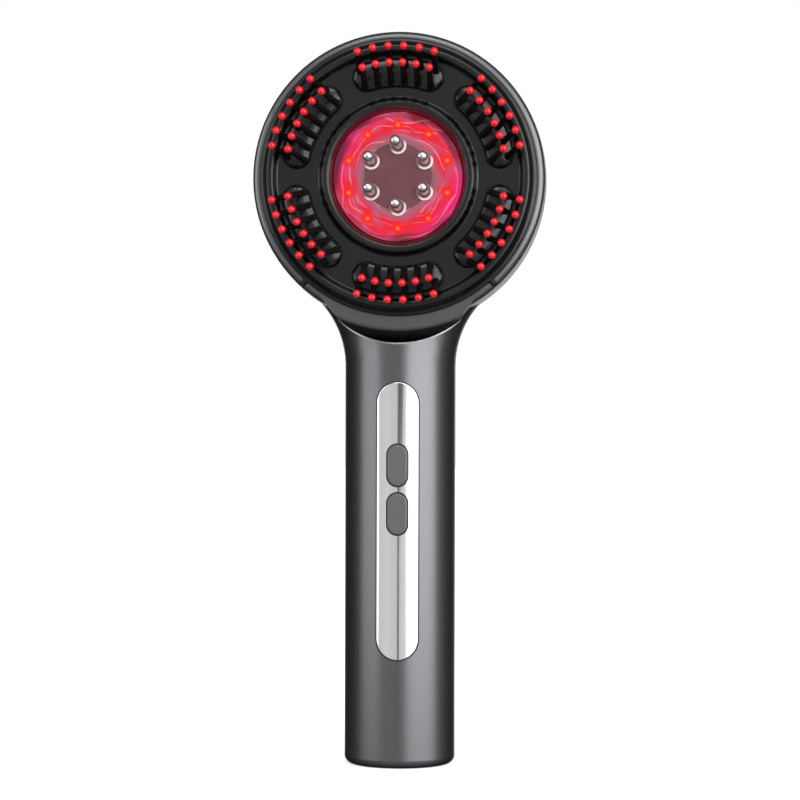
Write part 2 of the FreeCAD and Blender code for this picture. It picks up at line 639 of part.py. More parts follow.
def tank():
    """Liquid tank with its lid, gasket and filler neck, closed at the back by a soft plug."""
    lid = rod("lid_disc", "tank_radius", "lid_back", "frame_back")
    flow = [rod("flow_hole", "flow_hole_radius", "lid_back", "frame_back", *spot) for spot in pin_spots()]
    node(cut("tank_lid", lid, *flow), "tank_lid")
    node(turned("tank_gasket", [
        ("tank_radius - gasket_width", "gasket_back"), ("tank_radius", "gasket_back"),
        ("tank_radius", "lid_back"), ("tank_radius - gasket_width", "lid_back")],
        up="head_height"), "tank_gasket")
    neck_radius = "filler_radius + filler_wall"
    inside = "tank_radius - tank_wall"
    node(turned("tank", [
        ("tank_radius", "gasket_back"), ("tank_radius", "-tank_back"), (neck_radius, "-tank_back"),
        (neck_radius, "-head_back + back_wall"), ("filler_radius", "-head_back + back_wall"),
        ("filler_radius", "-tank_back + tank_wall"), (inside, "-tank_back + tank_wall"),
        (inside, "gasket_back")], up="head_height"), "tank")
    stem = "filler_radius - pin_gap"
    seat = "-head_back + plug_pocket - seat_gap"
    back = "-head_back - plug_proud"
    end = "-head_back + plug_pocket + plug_length"
    plug = turned("filler_plug", [
        ("0", back), ("plug_head_radius", back), ("plug_head_radius", seat), (stem, seat), (stem, end),
        ("0", end)], up="head_height")
    node(rounded(plug, "plug_round", [("plug_head_radius", back)]), "filler_plug")


def lights():
    """Light cup with its ring board and ten lights, closed by the clear window."""
    node(turned("light_cup", [
        ("block_hole", "frame_front"), ("window_radius", "frame_front"), ("window_radius", "window_back"),
        ("cup_inside", "window_back"), ("cup_inside", "led_board_back"), ("cup_inner", "led_board_back"),
        ("cup_inner", "window_back"), ("block_hole", "window_back")], up="head_height"), "light_cup")
    inner, outer = "cup_inner + seat_gap", "cup_inside - seat_gap"
    node(turned("led_board", [
        (inner, "led_board_back"), (outer, "led_board_back"), (outer, "led_board_front"),
        (inner, "led_board_front")], up="head_height"), "led_board")
    made = []
    for count in range(LED_COUNT):
        angle = 360 / LED_COUNT * count
        light = doc.addObject("Part::Box", "led")
        bind(light, Length="led_size", Width="led_size", Height="led_depth")
        turn = FreeCAD.Rotation(FreeCAD.Vector(0, 1, 0), angle) * FORWARD
        across, up = around("led_circle - led_size / 2", angle)
        made.append(place(light, "%s - led_size / 2 * cos(%g deg)" % (across, angle), "led_board_front",
                          "%s + led_size / 2 * sin(%g deg)" % (up, angle), turn))
    node(group("leds", made), "leds")
    window = rod("window_disc", "window_radius", "window_back", "window_front")
    disc = rod("smoky_disc", "pin_circle + disc_overlap", "window_front", "window_front + disc_depth")
    for name, form in (("light_window", window), ("centre_plate", disc)):
        holes = [rod(name + "_hole", "pin_collar_radius", "window_back", "pin_collar_front", *spot)
                 for spot in pin_spots()]
        node(cut(name, form, *holes), name)


def dispenser():
    """Valve block with six sprung pins, each guided by a bright collar in the window."""
    body = rod("block_form", "block_radius", "frame_back", "window_back")
    bore = "pin_radius + pin_gap"
    chambers = []
    collars = []
    for spot in pin_spots():
        chambers.append(rod("spring_chamber", "chamber_radius", "frame_back", "chamber_front", *spot))
        chambers.append(rod("pin_bore", bore, "frame_back", "window_back", *spot))
        collar = rod("collar_form", "pin_collar_radius", "window_back", "pin_collar_front", *spot)
        collars.append(cut("pin_collar", collar,
                           rod("collar_bore", bore, "window_back", "pin_collar_front", *spot)))
    node(cut("valve_block", body, *chambers), "valve_block")
    node(group("pin_collars", collars), "pin_collars")
    for number, (across, up) in enumerate(pin_spots(), start=1):
        node(turned("pin_%d" % number, [
            ("0", "pin_back"), ("pin_flange_radius", "pin_back"), ("pin_flange_radius", "pin_shoulder"),
            ("pin_radius", "pin_shoulder"),
            ("pin_radius", "pin_ball - sqrt(pin_ball_radius^2 - pin_radius^2)", "pin_ball_radius"),
            ("0", "pin_tip")], across=across, up=up), "pin_%d" % number)
        pin_spring(number, across, up)


def pin_spring(number, across, up):
    """Coil spring that presses a pin out."""
    length = "pin_back - frame_back - spring_wire - 2 * seat_gap"
    path = doc.addObject("Part::Helix", "spring_path")
    path.SegmentLength = SPRING_SEGMENT
    bind(path, Radius="spring_radius", Height=length, Pitch="(%s) / spring_turns" % length)
    doc.recompute()
    wire = doc.addObject("Part::Circle", "spring_section")
    bind(wire, Radius="spring_wire / 2")
    place(wire, "spring_radius", turn=FORWARD)
    coil = doc.addObject("Part::Sweep", "pin_spring_%d" % number)
    coil.Sections = [wire]
    coil.Spine = (path, ["Edge%d" % (count + 1) for count in range(len(path.Shape.Edges))])
    coil.Solid = True
    coil.Frenet = True
    place(coil, across, "frame_back + spring_wire / 2 + seat_gap", up, FORWARD)
    node(coil, "pin_spring_%d" % number)


def catches(name, width, rear, front, outer):
    """Bars across the barrel rim, to each side of straight down."""
    made = []
    inner = "(bore_radius - running_gap - skirt_wall / 2)"
    for side in (-1, 1):
        bar = doc.addObject("Part::Box", name)
        bind(bar, Length=width, Width="(%s) - %s" % (outer, inner), Height="(%s) - (%s)" % (front, rear))
        angle = 180 - side * value("catch_angle")
        along = "((180 - catch_angle * %d) * 1 deg)" % side
        across = "%s * sin(%s) - (%s) / 2 * cos(%s)" % (inner, along, width, along)
        up = "head_height + %s * cos(%s) + (%s) / 2 * sin(%s)" % (inner, along, width, along)
        made.append(place(bar, across, rear, up, FreeCAD.Rotation(FreeCAD.Vector(0, 1, 0), angle) * FORWARD))
    return made


def kidney(name, half_width, rear, front, turn=0, up="head_height"):
    """A curved bar with round ends on the pads' centre line, at an angle from straight up."""
    outer = rod(name + "_outer", "pad_radius + (%s)" % half_width, rear, front, "0", "0")
    bind(outer, Angle="2 * pad_end_angle")
    start = FreeCAD.Rotation(FreeCAD.Vector(0, 0, 1), 90 - value("pad_end_angle"))
    place(outer, "0", rear, "0", FORWARD * start)
    inner = rod(name + "_inner", "pad_radius - (%s)" % half_width, rear, front, "0", "0")
    ends = [rod(name + "_end", half_width, rear, front, "pad_radius * sin(%d deg * pad_end_angle)" % side,
                "pad_radius * cos(1 deg * pad_end_angle)") for side in (-1, 1)]
    made = fuse(name, cut(name + "_sector", outer, inner), *ends)
    return place(made, "0", "0", up, FreeCAD.Rotation(FreeCAD.Vector(0, 1, 0), turn))


def comb_plate():
    """Black front plate that pulls off the head, with six windows for the comb pads."""
    opening = "window_radius + running_gap"
    skirt = "bore_radius - running_gap"
    skirt_inside = "bore_radius - running_gap - skirt_wall"
    foot = "rim_front + running_gap"
    collar = [("collar_radius %s collar_width / 2" % sign, "collar_front") for sign in "-+"]
    crest = [("crest_radius %s crest_width / 2" % sign, "crest_front") for sign in "-+"]
    plate = turned("plate_form", [
        (opening, "plate_back"), (opening, "window_front + running_gap"), collar[0], collar[1],
        ("collar_foot", "plate_face"), ("crest_foot_inner", "plate_face"), crest[0], crest[1],
        ("crest_foot_outer", "plate_edge + plate_edge_slope"), ("plate_radius", "plate_edge"),
        ("plate_radius", foot), (skirt, foot), (skirt, "skirt_back"), (skirt_inside, "skirt_back"),
        (skirt_inside, "plate_back")], up="head_height")
    rounded(plate, "crest_round", collar + crest)
    tabs = catches("plate_catch", "catch_width", "skirt_back", "plate_edge", "catch_out")
    windows = [kidney("pad_window_%d" % (pad + 1), "pad_half_width + pad_window_gap", "0", "head_radius",
                      360 / PAD_COUNT * pad) for pad in range(PAD_COUNT)]
    node(cut("comb_plate", fuse("plate_with_catches", plate, *tabs), *windows), "comb_plate")


def comb_pad(number, turn):
    """Soft comb pad, moulded in one with two rows of leaning bristle stems, and its ball tips."""
    name = "comb_pad_%d" % number
    body = kidney(name + "_body", "pad_half_width", "plate_back", "pad_front", 0, "0")
    body = softened("Fillet", name + "_soft", body, "pad_round", at_front("pad_front"))
    flange = kidney(name + "_flange", "pad_half_width + pad_flange", "plate_back - pad_flange_depth",
                    "plate_back", 0, "0")
    lean = FreeCAD.Rotation(FreeCAD.Vector(1, 0, 0), 90 - value("bristle_lean"))
    rise = "(bristle_reach + bristle_root)"
    stems = []
    balls = []
    for row in ("inner_row_radius", "outer_row_radius"):
        for count in range(BRISTLES_PER_ROW):
            angle = "bristle_angle * %g deg" % (count - (BRISTLES_PER_ROW - 1) / 2)
            across = "%s * sin(%s)" % (row, angle)
            up = "%s * cos(%s)" % (row, angle)
            stem = doc.addObject("Part::Cone", name + "_stem")
            bind(stem, Radius1="bristle_base_radius", Radius2="bristle_tip_radius",
                 Height="%s / cos(1 deg * bristle_lean) - sqrt(ball_radius^2 - bristle_tip_radius^2)" % rise)
            stems.append(place(stem, across, "pad_front - bristle_root",
                               "%s - %s * tan(1 deg * bristle_lean)" % (up, rise), lean))
            ball = doc.addObject("Part::Sphere", name + "_ball")
            bind(ball, Radius="ball_radius", Angle1="-acos(bristle_tip_radius / ball_radius)")
            balls.append(place(ball, across, "bristle_front", up, lean))
    turning = FreeCAD.Rotation(FreeCAD.Vector(0, 1, 0), turn)
    node(place(fuse(name, body, flange, *stems), "0", "0", "head_height", turning), name)
    tips = "bristle_tips_%d" % number
    node(place(group(tips, balls), "0", "0", "head_height", turning), tips)


def button_hole(name, up):
    """Clear hole for a button through the strip and the handle wall."""
    return stadium(name, "button_width + 2 * guide_gap", "button_length + 2 * guide_gap", "board_front",
                   "handle_radius * 2", up)


def control_strip():
    """Bright curved strip set into the front of the handle."""
    bar = stadium("strip_bar", "strip_width", "strip_length", "0", "handle_radius * 2", "strip_middle")
    sleeve = cut("strip_sleeve", post("strip_outside", "strip_radius", "0", "head_height"),
                 post("strip_inside", "strip_seat", "-foot_round", "head_height + foot_round"))
    holes = [button_hole("strip_button_hole", up) for up in ("power_button_height", "mode_button_height")]
    front = value("strip_radius")

    def outer_edge(edge):
        return edge.BoundBox.YMin < 0 and all(
            abs(math.hypot(point.X, point.Y) - front) < 1e-3 for point in edge.Vertexes)
    strip = softened("Fillet", "strip_soft", common("strip_form", bar, sleeve), "strip_round", outer_edge)
    node(cut("control_strip", strip, *holes), "control_strip")


def button(name, up):
    """Push button, kept in by its flange."""
    cap = stadium(name + "_cap", "button_width", "button_length", "button_back", "button_front", up)
    cap = softened("Fillet", name + "_soft", cap, "button_round", at_front("button_front"))
    flange = stadium(name + "_flange", "button_width + 2 * button_flange",
                     "button_length + 2 * button_flange", "button_back", "button_flange_front", up)
    node(fuse(name, cap, flange), name)


def plunger(name, up):
    """Plunger of a push switch, touching the back of its button."""
    node(rod(name, "plunger_radius", "switch_front - plunger_sunk", "button_back", "0", up), name)


def handle_electrics():
    """Main board with two push switches and the charging socket, and the battery in its cradle."""
    node(block("main_board", "board_width", "board_back", "board_front", "board_bottom", "board_top"),
         "main_board")
    switches = []
    for up in ("power_button_height", "mode_button_height"):
        case = block("switch_case", "switch_size", "board_front", "switch_front", up + " - switch_size / 2",
                     up + " + switch_size / 2")
        well = rod("switch_well", "plunger_radius + pin_gap", "board_front + switch_floor", "switch_front",
                   "0", up)
        switches.append(cut("push_switch", case, well))
    node(group("push_switches", switches), "push_switches")
    socket_top = "socket_bottom + socket_length"
    shell = block("socket_shell", "socket_width", "board_back - socket_depth", "board_back", "socket_bottom",
                  socket_top)
    inside = block("socket_inside", "socket_width - 2 * socket_wall",
                   "board_back - socket_depth + socket_wall", "board_back - socket_wall", "0",
                   socket_top + " - socket_wall")
    tongue = block("socket_tongue", "socket_width - 6 * socket_wall", "socket_forward - socket_wall",
                   "socket_forward + socket_wall", "socket_bottom + socket_wall",
                   socket_top + " - socket_wall")
    node(fuse("charging_socket", cut("socket_can", shell, inside), tongue), "charging_socket")
    nub_top = "battery_top + nub_height"
    node(turned("battery_cell", [
        ("0", "battery_bottom"), ("battery_radius", "battery_bottom"), ("battery_radius", "battery_top"),
        ("nub_radius", "battery_top"), ("nub_radius", nub_top), ("0", nub_top)],
        along="up", forward="-battery_back"), "battery_cell")
    form = common("cradle_form",
                  post("cradle_round", "handle_bore - seat_gap", "cradle_bottom", "cradle_top"),
                  block("cradle_space", "handle_radius * 2", "-cradle_back", "board_back", "cradle_bottom",
                        "cradle_top"))
    trough = post("cradle_trough", "battery_radius", "battery_bottom", nub_top, "-battery_back")
    node(cut("battery_cradle", form, trough), "battery_cradle")


def end_cap():
    """Flat cap in the foot of the handle, with the mouth of the charging socket."""
    plug = "cap_hole_radius - seat_gap"
    flange = "handle_bore - cap_play"
    cap = turned("cap_form", [
        ("0", "0"), (plug, "0"), (plug, "foot_floor"), (flange, "foot_floor"), (flange, "cap_top"),
        ("0", "cap_top")], along="up")
    mouth = block("socket_mouth", "socket_width + 2 * seat_gap", "board_back - socket_depth - seat_gap",
                  "board_back + seat_gap", "-foot_floor", "cap_top + foot_floor")
    node(cut("end_cap", cap, mouth), "end_cap")


def motor():
    """Vibration motor in a rubber mount, with an eccentric weight on its shaft."""
    axis = "-motor_back"
    can = post("motor_form", "motor_radius", "motor_bottom", "motor_top", axis)
    well = post("motor_well", "shaft_radius + pin_gap", "motor_top - shaft_sunk - seat_gap",
                "motor_top + seat_gap", axis)
    node(cut("motor_can", can, well), "motor_can")
    sleeve = common("mount_form", post("mount_round", "handle_bore - seat_gap", "mount_bottom", "mount_top"),
                    block("mount_space", "handle_radius * 2", "-handle_radius", "board_back - seat_gap",
                          "mount_bottom", "mount_top"))
    bore = post("mount_bore", "motor_radius", "mount_bottom", "mount_top", axis)
    node(cut("motor_mount", sleeve, bore), "motor_mount")
    node(post("motor_shaft", "shaft_radius", "motor_top - shaft_sunk", "motor_top + shaft_length", axis),
         "motor_shaft")
    weight = post("weight_form", "weight_radius", "weight_bottom", "weight_top", axis)
    bind(weight, Angle="weight_span")
    hub = post("weight_hub", "shaft_radius * 2", "weight_bottom", "weight_top", axis)
    hole = post("weight_bore", "shaft_radius", "weight_bottom", "weight_top", axis)
    node(cut("eccentric_weight", fuse("weight_with_hub", weight, hub), hole), "eccentric_weight")


def check():
    """Stop if any object failed or any piece is empty or broken."""
    doc.recompute()
    failed = [thing.Name for thing in doc.Objects if "Invalid" in thing.State or "Error" in thing.State]
    if failed:
        raise RuntimeError("failed objects: " + ", ".join(failed))
    for piece in nodes:
        if piece.Shape.isNull() or not piece.Shape.isValid() or not piece.Shape.Solids:
            raise RuntimeError("broken piece: " + piece.Label)


def main():
    wall = housing()
    front_shell(wall)
    rear_shell(wall)
    shell_screws()
    head_frame()
    tank()
    lights()
    dispenser()
    comb_plate()
    for pad in range(PAD_COUNT):
        comb_pad(pad + 1, 360 / PAD_COUNT * pad)
    control_strip()
    for name in ("power", "mode"):
        button(name + "_button", name + "_button_height")
        plunger(name + "_plunger", name + "_button_height")
    handle_electrics()
    end_cap()
    motor()
    check()
    os.makedirs("parts", exist_ok=True)
    for piece in nodes:
        piece.Shape.exportStep("parts/%s.step" % piece.Label)
        print("%-20s solids %3d  volume %10.2f" % (piece.Label, len(piece.Shape.Solids), piece.Shape.Volume))
    print(len(nodes), "pieces")


main()
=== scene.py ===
import math

import bpy
from mathutils import Matrix, Vector


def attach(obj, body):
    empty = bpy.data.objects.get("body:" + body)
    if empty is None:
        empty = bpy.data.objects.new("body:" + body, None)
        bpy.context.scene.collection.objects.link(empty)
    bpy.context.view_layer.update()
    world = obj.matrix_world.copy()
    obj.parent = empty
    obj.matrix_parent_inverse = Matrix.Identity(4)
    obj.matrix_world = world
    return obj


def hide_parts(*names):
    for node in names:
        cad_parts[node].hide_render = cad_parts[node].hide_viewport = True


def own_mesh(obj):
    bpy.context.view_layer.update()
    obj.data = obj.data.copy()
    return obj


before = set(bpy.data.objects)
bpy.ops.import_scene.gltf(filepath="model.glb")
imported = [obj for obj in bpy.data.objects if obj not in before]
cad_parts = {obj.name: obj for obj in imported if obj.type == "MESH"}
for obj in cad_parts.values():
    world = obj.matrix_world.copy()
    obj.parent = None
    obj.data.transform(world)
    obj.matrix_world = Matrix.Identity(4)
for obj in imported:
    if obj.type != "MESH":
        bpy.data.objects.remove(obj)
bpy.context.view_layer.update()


# Front and rear shell: two ABS half shells that make the handle, the flared neck and the barrel of the head,
# moulded in black and sprayed with a gunmetal lacquer whose fine flake gives a soft metal sheen. Painted
# shade darkens the groove under the chin to near black, and a painted highlight brightens the lip's narrow
# bevel.
MM = 0.001
HEAD_UP = 148.8 * MM
LIP_UP = 130.22 * MM                    # axis of the lip's arc
GROOVE_REACH = 22.9 * MM                # from that axis
GROOVE_FRONT = 5.9 * MM
GROOVE_SHADE_EDGE = (37.5 * MM, 38.7 * MM)    # where the painted shade in the groove fades in, from the middle of the head
BEVEL_HIGHLIGHT_END = (23.34 * MM, 23.42 * MM)    # where the painted highlight on the bevel fades, from the axis of the lip's arc
FLAKE_SIZE = 0.5 * MM                   # real flake is finer; drawn coarser so that it shows
ORANGE_PEEL_SIZE = 2.2 * MM
LACQUER = "#707173"
LACQUER_DEEP = "#656668"
# the colour of the painted highlight on the lip's bevel
BEVEL_PAINTED_HIGHLIGHT = "#98989a"
# the colour of the painted shade in the groove under the chin
GROOVE_PAINTED_SHADE = "#0a0a0b"


def linear(colour):
    """Linear RGBA of an sRGB hex colour."""
    parts = [int(colour[i:i + 2], 16) / 255 for i in (1, 3, 5)]
    return tuple(p / 12.92 if p <= 0.04045 else ((p + 0.055) / 1.055) ** 2.4 for p in parts) + (1.0,)


def add_node(tree, kind, sockets=None, **settings):
    """A node with its settings, its input values and its links."""
    made = tree.nodes.new(kind)
    for name, value in settings.items():
        setattr(made, name, value)
    for name, value in (sockets or {}).items():
        if isinstance(value, bpy.types.Node):
            value = value.outputs[0]
        if isinstance(value, bpy.types.NodeSocket):
            tree.links.new(value, made.inputs[name])
        else:
            made.inputs[name].default_value = value
    return made


def start_material(name):
    """An empty material, its node tree and its Object coordinates."""
    material = bpy.data.materials.new(name)
    material.use_nodes = True
    tree = material.node_tree
    tree.nodes.clear()
    place = add_node(tree, "ShaderNodeTexCoord").outputs["Object"]
    return material, tree, place


def end_material(tree, shader):
    """Send a shader to the surface."""
    add_node(tree, "ShaderNodeOutputMaterial", {"Surface": shader})


def dress(material, *names):
    """Give CAD nodes their finish."""
    for name in names:
        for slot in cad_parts[name].material_slots:
            slot.material = material


def from_axis(tree, place, up):
    """A place seen along the front-to-back axis at a height, and its distance from that axis."""
    flat = add_node(tree, "ShaderNodeMapping", {"Vector": place, "Location": (0, 0, -up), "Scale": (1, 0, 1)})
    return flat, add_node(tree, "ShaderNodeVectorMath", {0: flat}, operation="LENGTH").outputs["Value"]


lacquer, tree, place = start_material("gunmetal_lacquer")
flake = add_node(tree, "ShaderNodeTexNoise", {"Vector": place, "Scale": 1 / FLAKE_SIZE, "Detail": 2.0})
colour = add_node(tree, "ShaderNodeMix", {0: flake, 6: linear(LACQUER_DEEP), 7: linear(LACQUER)},
                  data_type="RGBA")
from_head = from_axis(tree, place, HEAD_UP)[1]
from_lip = from_axis(tree, place, LIP_UP)[1]
axes = add_node(tree, "ShaderNodeSeparateXYZ", {"Vector": place})
within_lip = add_node(tree, "ShaderNodeMath", {0: from_lip, 1: GROOVE_REACH}, operation="LESS_THAN")
in_front = add_node(tree, "ShaderNodeMath", {0: axes.outputs["Y"], 1: -GROOVE_FRONT}, operation="LESS_THAN")
below_head = add_node(tree, "ShaderNodeMath", {0: from_head, 1: GROOVE_SHADE_EDGE[0]}, operation="GREATER_THAN")
# Painted shade: the groove under the chin turns near black, less metallic and without coat.
groove_shade = add_node(tree, "ShaderNodeMapRange", {"Value": from_head, "From Min": GROOVE_SHADE_EDGE[0],
                                             "From Max": GROOVE_SHADE_EDGE[1]})
for mask in (within_lip, in_front):
    groove_shade = add_node(tree, "ShaderNodeMath", {0: groove_shade, 1: mask}, operation="MULTIPLY")
# Painted highlight: a bright line along the lip's narrow bevel.
bevel = add_node(tree, "ShaderNodeMapRange", {"Value": from_lip, "From Min": BEVEL_HIGHLIGHT_END[1],
                                              "From Max": BEVEL_HIGHLIGHT_END[0]})
bevel = add_node(tree, "ShaderNodeMath", {0: bevel, 1: within_lip}, operation="SUBTRACT", use_clamp=True)
for mask in (in_front, below_head):
    bevel = add_node(tree, "ShaderNodeMath", {0: bevel, 1: mask}, operation="MULTIPLY")
# Lay the painted highlight and the painted shade over the lacquer.
for share, tint in ((bevel, BEVEL_PAINTED_HIGHLIGHT), (groove_shade, GROOVE_PAINTED_SHADE)):
    colour = add_node(tree, "ShaderNodeMix", {0: share, 6: colour.outputs[2], 7: linear(tint)},
                      data_type="RGBA")
metal = add_node(tree, "ShaderNodeMapRange", {"Value": groove_shade, "To Min": 0.95, "To Max": 0.0})
coat = add_node(tree, "ShaderNodeMapRange", {"Value": groove_shade, "To Min": 0.1, "To Max": 0.0})
gloss = add_node(tree, "ShaderNodeMapRange", {"Value": groove_shade, "To Min": 0.5, "To Max": 0.15})
peel = add_node(tree, "ShaderNodeTexNoise", {"Vector": place, "Scale": 1 / ORANGE_PEEL_SIZE, "Detail": 1.0})
rough = add_node(tree, "ShaderNodeMath", {0: flake, 1: 0.07, 2: 0.27}, operation="MULTIPLY_ADD")
bump = add_node(tree, "ShaderNodeBump", {"Height": peel, "Strength": 0.05, "Distance": 0.1 * MM})
end_material(tree, add_node(tree, "ShaderNodeBsdfPrincipled", {
    "Base Color": colour.outputs[2], "Metallic": metal, "Roughness": rough, "Specular IOR Level": gloss,
    "Coat Weight": coat, "Coat Roughness": 0.22, "Normal": bump}))
dress(lacquer, "front_shell", "rear_shell")


# Screws: four that hold the shells together from the back and four that hold the head frame, cold-formed
# from steel and blackened. They look dark and half bright, with fine turning marks on their heads.
def steel(name, colour, roughness, mark_size):
    """Plain steel whose polish varies in fine marks of a given size."""
    material, tree, place = start_material(name)
    marks = add_node(tree, "ShaderNodeTexNoise", {"Vector": place, "Scale": 1 / mark_size, "Detail": 3.0})
    rough = add_node(tree, "ShaderNodeMapRange", {"Value": marks, "To Min": roughness * 0.75,
                                                  "To Max": roughness * 1.25})
    bump = add_node(tree, "ShaderNodeBump", {"Height": marks, "Strength": 0.06, "Distance": 0.05 * MM})
    end_material(tree, add_node(tree, "ShaderNodeBsdfPrincipled", {
        "Base Color": linear(colour), "Metallic": 1.0, "Roughness": rough, "Normal": bump}))
    return material


dress(steel("blackened_screw_steel", "#4a4a4c", 0.35, 0.4 * MM), "shell_screws", "frame_screws")


# Moulded inner pieces: head frame, valve block and battery cradle in dark ABS, the white reflector cup,
# and the satin end cap in the foot. Moulding leaves a fine even grain.
def moulded(name, colour, roughness, grain_size):
    """Unpainted moulded plastic with its spark-eroded grain."""
    material, tree, place = start_material(name)
    grain = add_node(tree, "ShaderNodeTexNoise", {"Vector": place, "Scale": 1 / grain_size, "Detail": 4.0})
    rough = add_node(tree, "ShaderNodeMapRange", {"Value": grain, "To Min": roughness * 0.85,
                                                  "To Max": roughness * 1.15})
    bump = add_node(tree, "ShaderNodeBump", {"Height": grain, "Strength": 0.12, "Distance": 0.06 * MM})
    end_material(tree, add_node(tree, "ShaderNodeBsdfPrincipled", {
        "Base Color": linear(colour), "Roughness": rough, "IOR": 1.53, "Normal": bump}))
    return material


dress(moulded("dark_moulded_abs", "#3a3b3d", 0.5, 0.6 * MM), "head_frame", "valve_block", "battery_cradle")
dress(moulded("white_reflector_abs", "#e6e4e2", 0.35, 0.6 * MM), "light_cup")
dress(moulded("satin_cap_abs", "#2a2a2b", 0.42, 0.5 * MM), "end_cap")
dress(moulded("switch_plunger_abs", "#1c1c1c", 0.4, 0.4 * MM), "power_plunger", "mode_plunger")


# Seals: the tank's gasket, the filler plug in the back of the head and the motor's mount, all moulded in
# soft black silicone that takes a dull sheen.
dress(moulded("black_silicone", "#1b1b1c", 0.62, 0.8 * MM), "tank_gasket", "filler_plug", "motor_mount")


# Liquid tank and its lid: moulded in clear plastic and clamped behind the head frame with a gasket between
# them. The flow of the melt leaves the polish slightly uneven.
MELT_FLOW = 6 * MM
tank_clear, tree, place = start_material("clear_tank_plastic")
flow = add_node(tree, "ShaderNodeTexNoise", {"Vector": place, "Scale": 1 / MELT_FLOW, "Detail": 1.0})
rough = add_node(tree, "ShaderNodeMapRange", {"Value": flow, "To Min": 0.05, "To Max": 0.15})
end_material(tree, add_node(tree, "ShaderNodeBsdfPrincipled", {
    "Base Color": linear("#e8edf0"), "Roughness": rough, "IOR": 1.49, "Transmission Weight": 0.9}))
dress(tank_clear, "tank", "tank_lid")


# Electronics: fibreglass boards under green solder mask, stamped steel switches and socket, a drawn steel
# motor with a sintered weight on its shaft, and a cell in its shiny blue sleeve.
TRACK_PITCH = 4 * MM
board, tree, place = start_material("solder_mask")
tracks = add_node(tree, "ShaderNodeTexBrick", {
    "Vector": place, "Color1": linear("#14522c"), "Color2": linear("#11492a"), "Mortar": linear("#1d6a3a"),
    "Scale": 1 / TRACK_PITCH, "Mortar Size": 0.04})
end_material(tree, add_node(tree, "ShaderNodeBsdfPrincipled", {"Base Color": tracks, "Roughness": 0.35}))
dress(board, "main_board", "led_board")
dress(steel("stamped_socket_steel", "#b9b9bb", 0.28, 0.5 * MM), "charging_socket", "push_switches")
dress(steel("drawn_motor_steel", "#a4a4a6", 0.3, 0.8 * MM), "motor_can", "motor_shaft")
dress(steel("sintered_weight", "#6e6e70", 0.5, 0.5 * MM), "eccentric_weight")
dress(moulded("cell_sleeve", "#2c5f8e", 0.25, 1.5 * MM), "battery_cell")


# Lights: ten red diodes on the ring board, lit. Each is a small clear dome with the red die showing
# unevenly through it.
LIGHT_CIRCLE = 13.0 * MM
LIGHT_COUNT = 10
DIE_SIZE = 0.7 * MM
diode, tree, place = start_material("lit_red_diode")
die = add_node(tree, "ShaderNodeTexNoise", {"Vector": place, "Scale": 1 / DIE_SIZE, "Detail": 1.0})
heat = add_node(tree, "ShaderNodeMix", {0: die, 6: linear("#ff2a14"), 7: linear("#ff7a4a")}, data_type="RGBA")
end_material(tree, add_node(tree, "ShaderNodeBsdfPrincipled", {
    "Base Color": linear("#ff5a3c"), "Roughness": 0.3, "Emission Color": heat.outputs[2],
    "Emission Strength": 3.0}))
dress(diode, "leds")


# Window: a clear polished acrylic disc in front of the lights. It glows red, with an orange point in a red
# halo at each light, cooler magenta edges, and pale streaks where the ring reflector throws the light around.
WINDOW_RADIUS = 16.17 * MM
CLOUD_DEPTH = 9 * MM                    # size of the clouds in the glow, from the middle outwards
STREAK_PITCH = 2.6 * MM
HALO = (0.5 * MM, 2.3 * MM, 0.95)       # start and end of its fading around a light, and its strength
POINT = (0.1 * MM, 0.8 * MM, 1.0)
GLOW = ((0.59, "#8c5a60"), (0.65, "#b05a68"), (0.70, "#c84258"), (0.76, "#e01c38"), (0.86, "#ea1028"),
        (0.96, "#ec1842"), (1.0, "#7a1030"), (1.0, "#cc1844"))      # by share of the window's radius


def lay_stops(ramp, stops):
    """Give a colour ramp its stops, each a position with a colour."""
    elements = ramp.color_ramp.elements
    elements.remove(elements[-1])
    for count, (position, colour) in enumerate(stops):
        stop = elements.new(position) if count else elements[0]
        stop.position = position
        stop.color = colour


window, tree, place = start_material("lit_acrylic_window")
flat, radius = from_axis(tree, place, HEAD_UP)
axes = add_node(tree, "ShaderNodeSeparateXYZ", {"Vector": flat})
turn = add_node(tree, "ShaderNodeMath", {0: axes.outputs["X"], 1: axes.outputs["Z"]}, operation="ARCTAN2")
across = add_node(tree, "ShaderNodeMath", {0: turn}, operation="SINE")
upward = add_node(tree, "ShaderNodeMath", {0: turn}, operation="COSINE")
depth = add_node(tree, "ShaderNodeMath", {0: radius, 1: 1 / CLOUD_DEPTH}, operation="MULTIPLY")
around = add_node(tree, "ShaderNodeCombineXYZ", {"X": across, "Y": upward, "Z": depth})

sector = add_node(tree, "ShaderNodeMath", {0: turn, 1: math.pi / LIGHT_COUNT}, operation="PINGPONG")
sideways = add_node(tree, "ShaderNodeMath", {0: sector, 1: radius}, operation="MULTIPLY")
outward = add_node(tree, "ShaderNodeMath", {0: radius, 1: LIGHT_CIRCLE}, operation="SUBTRACT")
from_light = add_node(tree, "ShaderNodeCombineXYZ", {"X": sideways, "Y": outward})
away = add_node(tree, "ShaderNodeVectorMath", {0: from_light}, operation="LENGTH").outputs["Value"]
halo, point = [
    add_node(tree, "ShaderNodeMapRange", {"Value": away, "From Min": start, "From Max": end,
                                          "To Min": strength, "To Max": 0.0}, interpolation_type="SMOOTHSTEP")
    for start, end, strength in (HALO, POINT)]

wobble = add_node(tree, "ShaderNodeTexNoise", {"Vector": around, "W": 2.0, "Scale": 2.2, "Detail": 0.0},
                  noise_dimensions="4D")
reach = add_node(tree, "ShaderNodeMath", {0: radius, 1: 1 / WINDOW_RADIUS}, operation="MULTIPLY")
reach = add_node(tree, "ShaderNodeMath", {0: wobble, 1: 0.12, 2: reach}, operation="MULTIPLY_ADD")
glow = add_node(tree, "ShaderNodeValToRGB", {"Fac": reach})
lay_stops(glow, [(position, linear(tint)) for position, tint in GLOW])

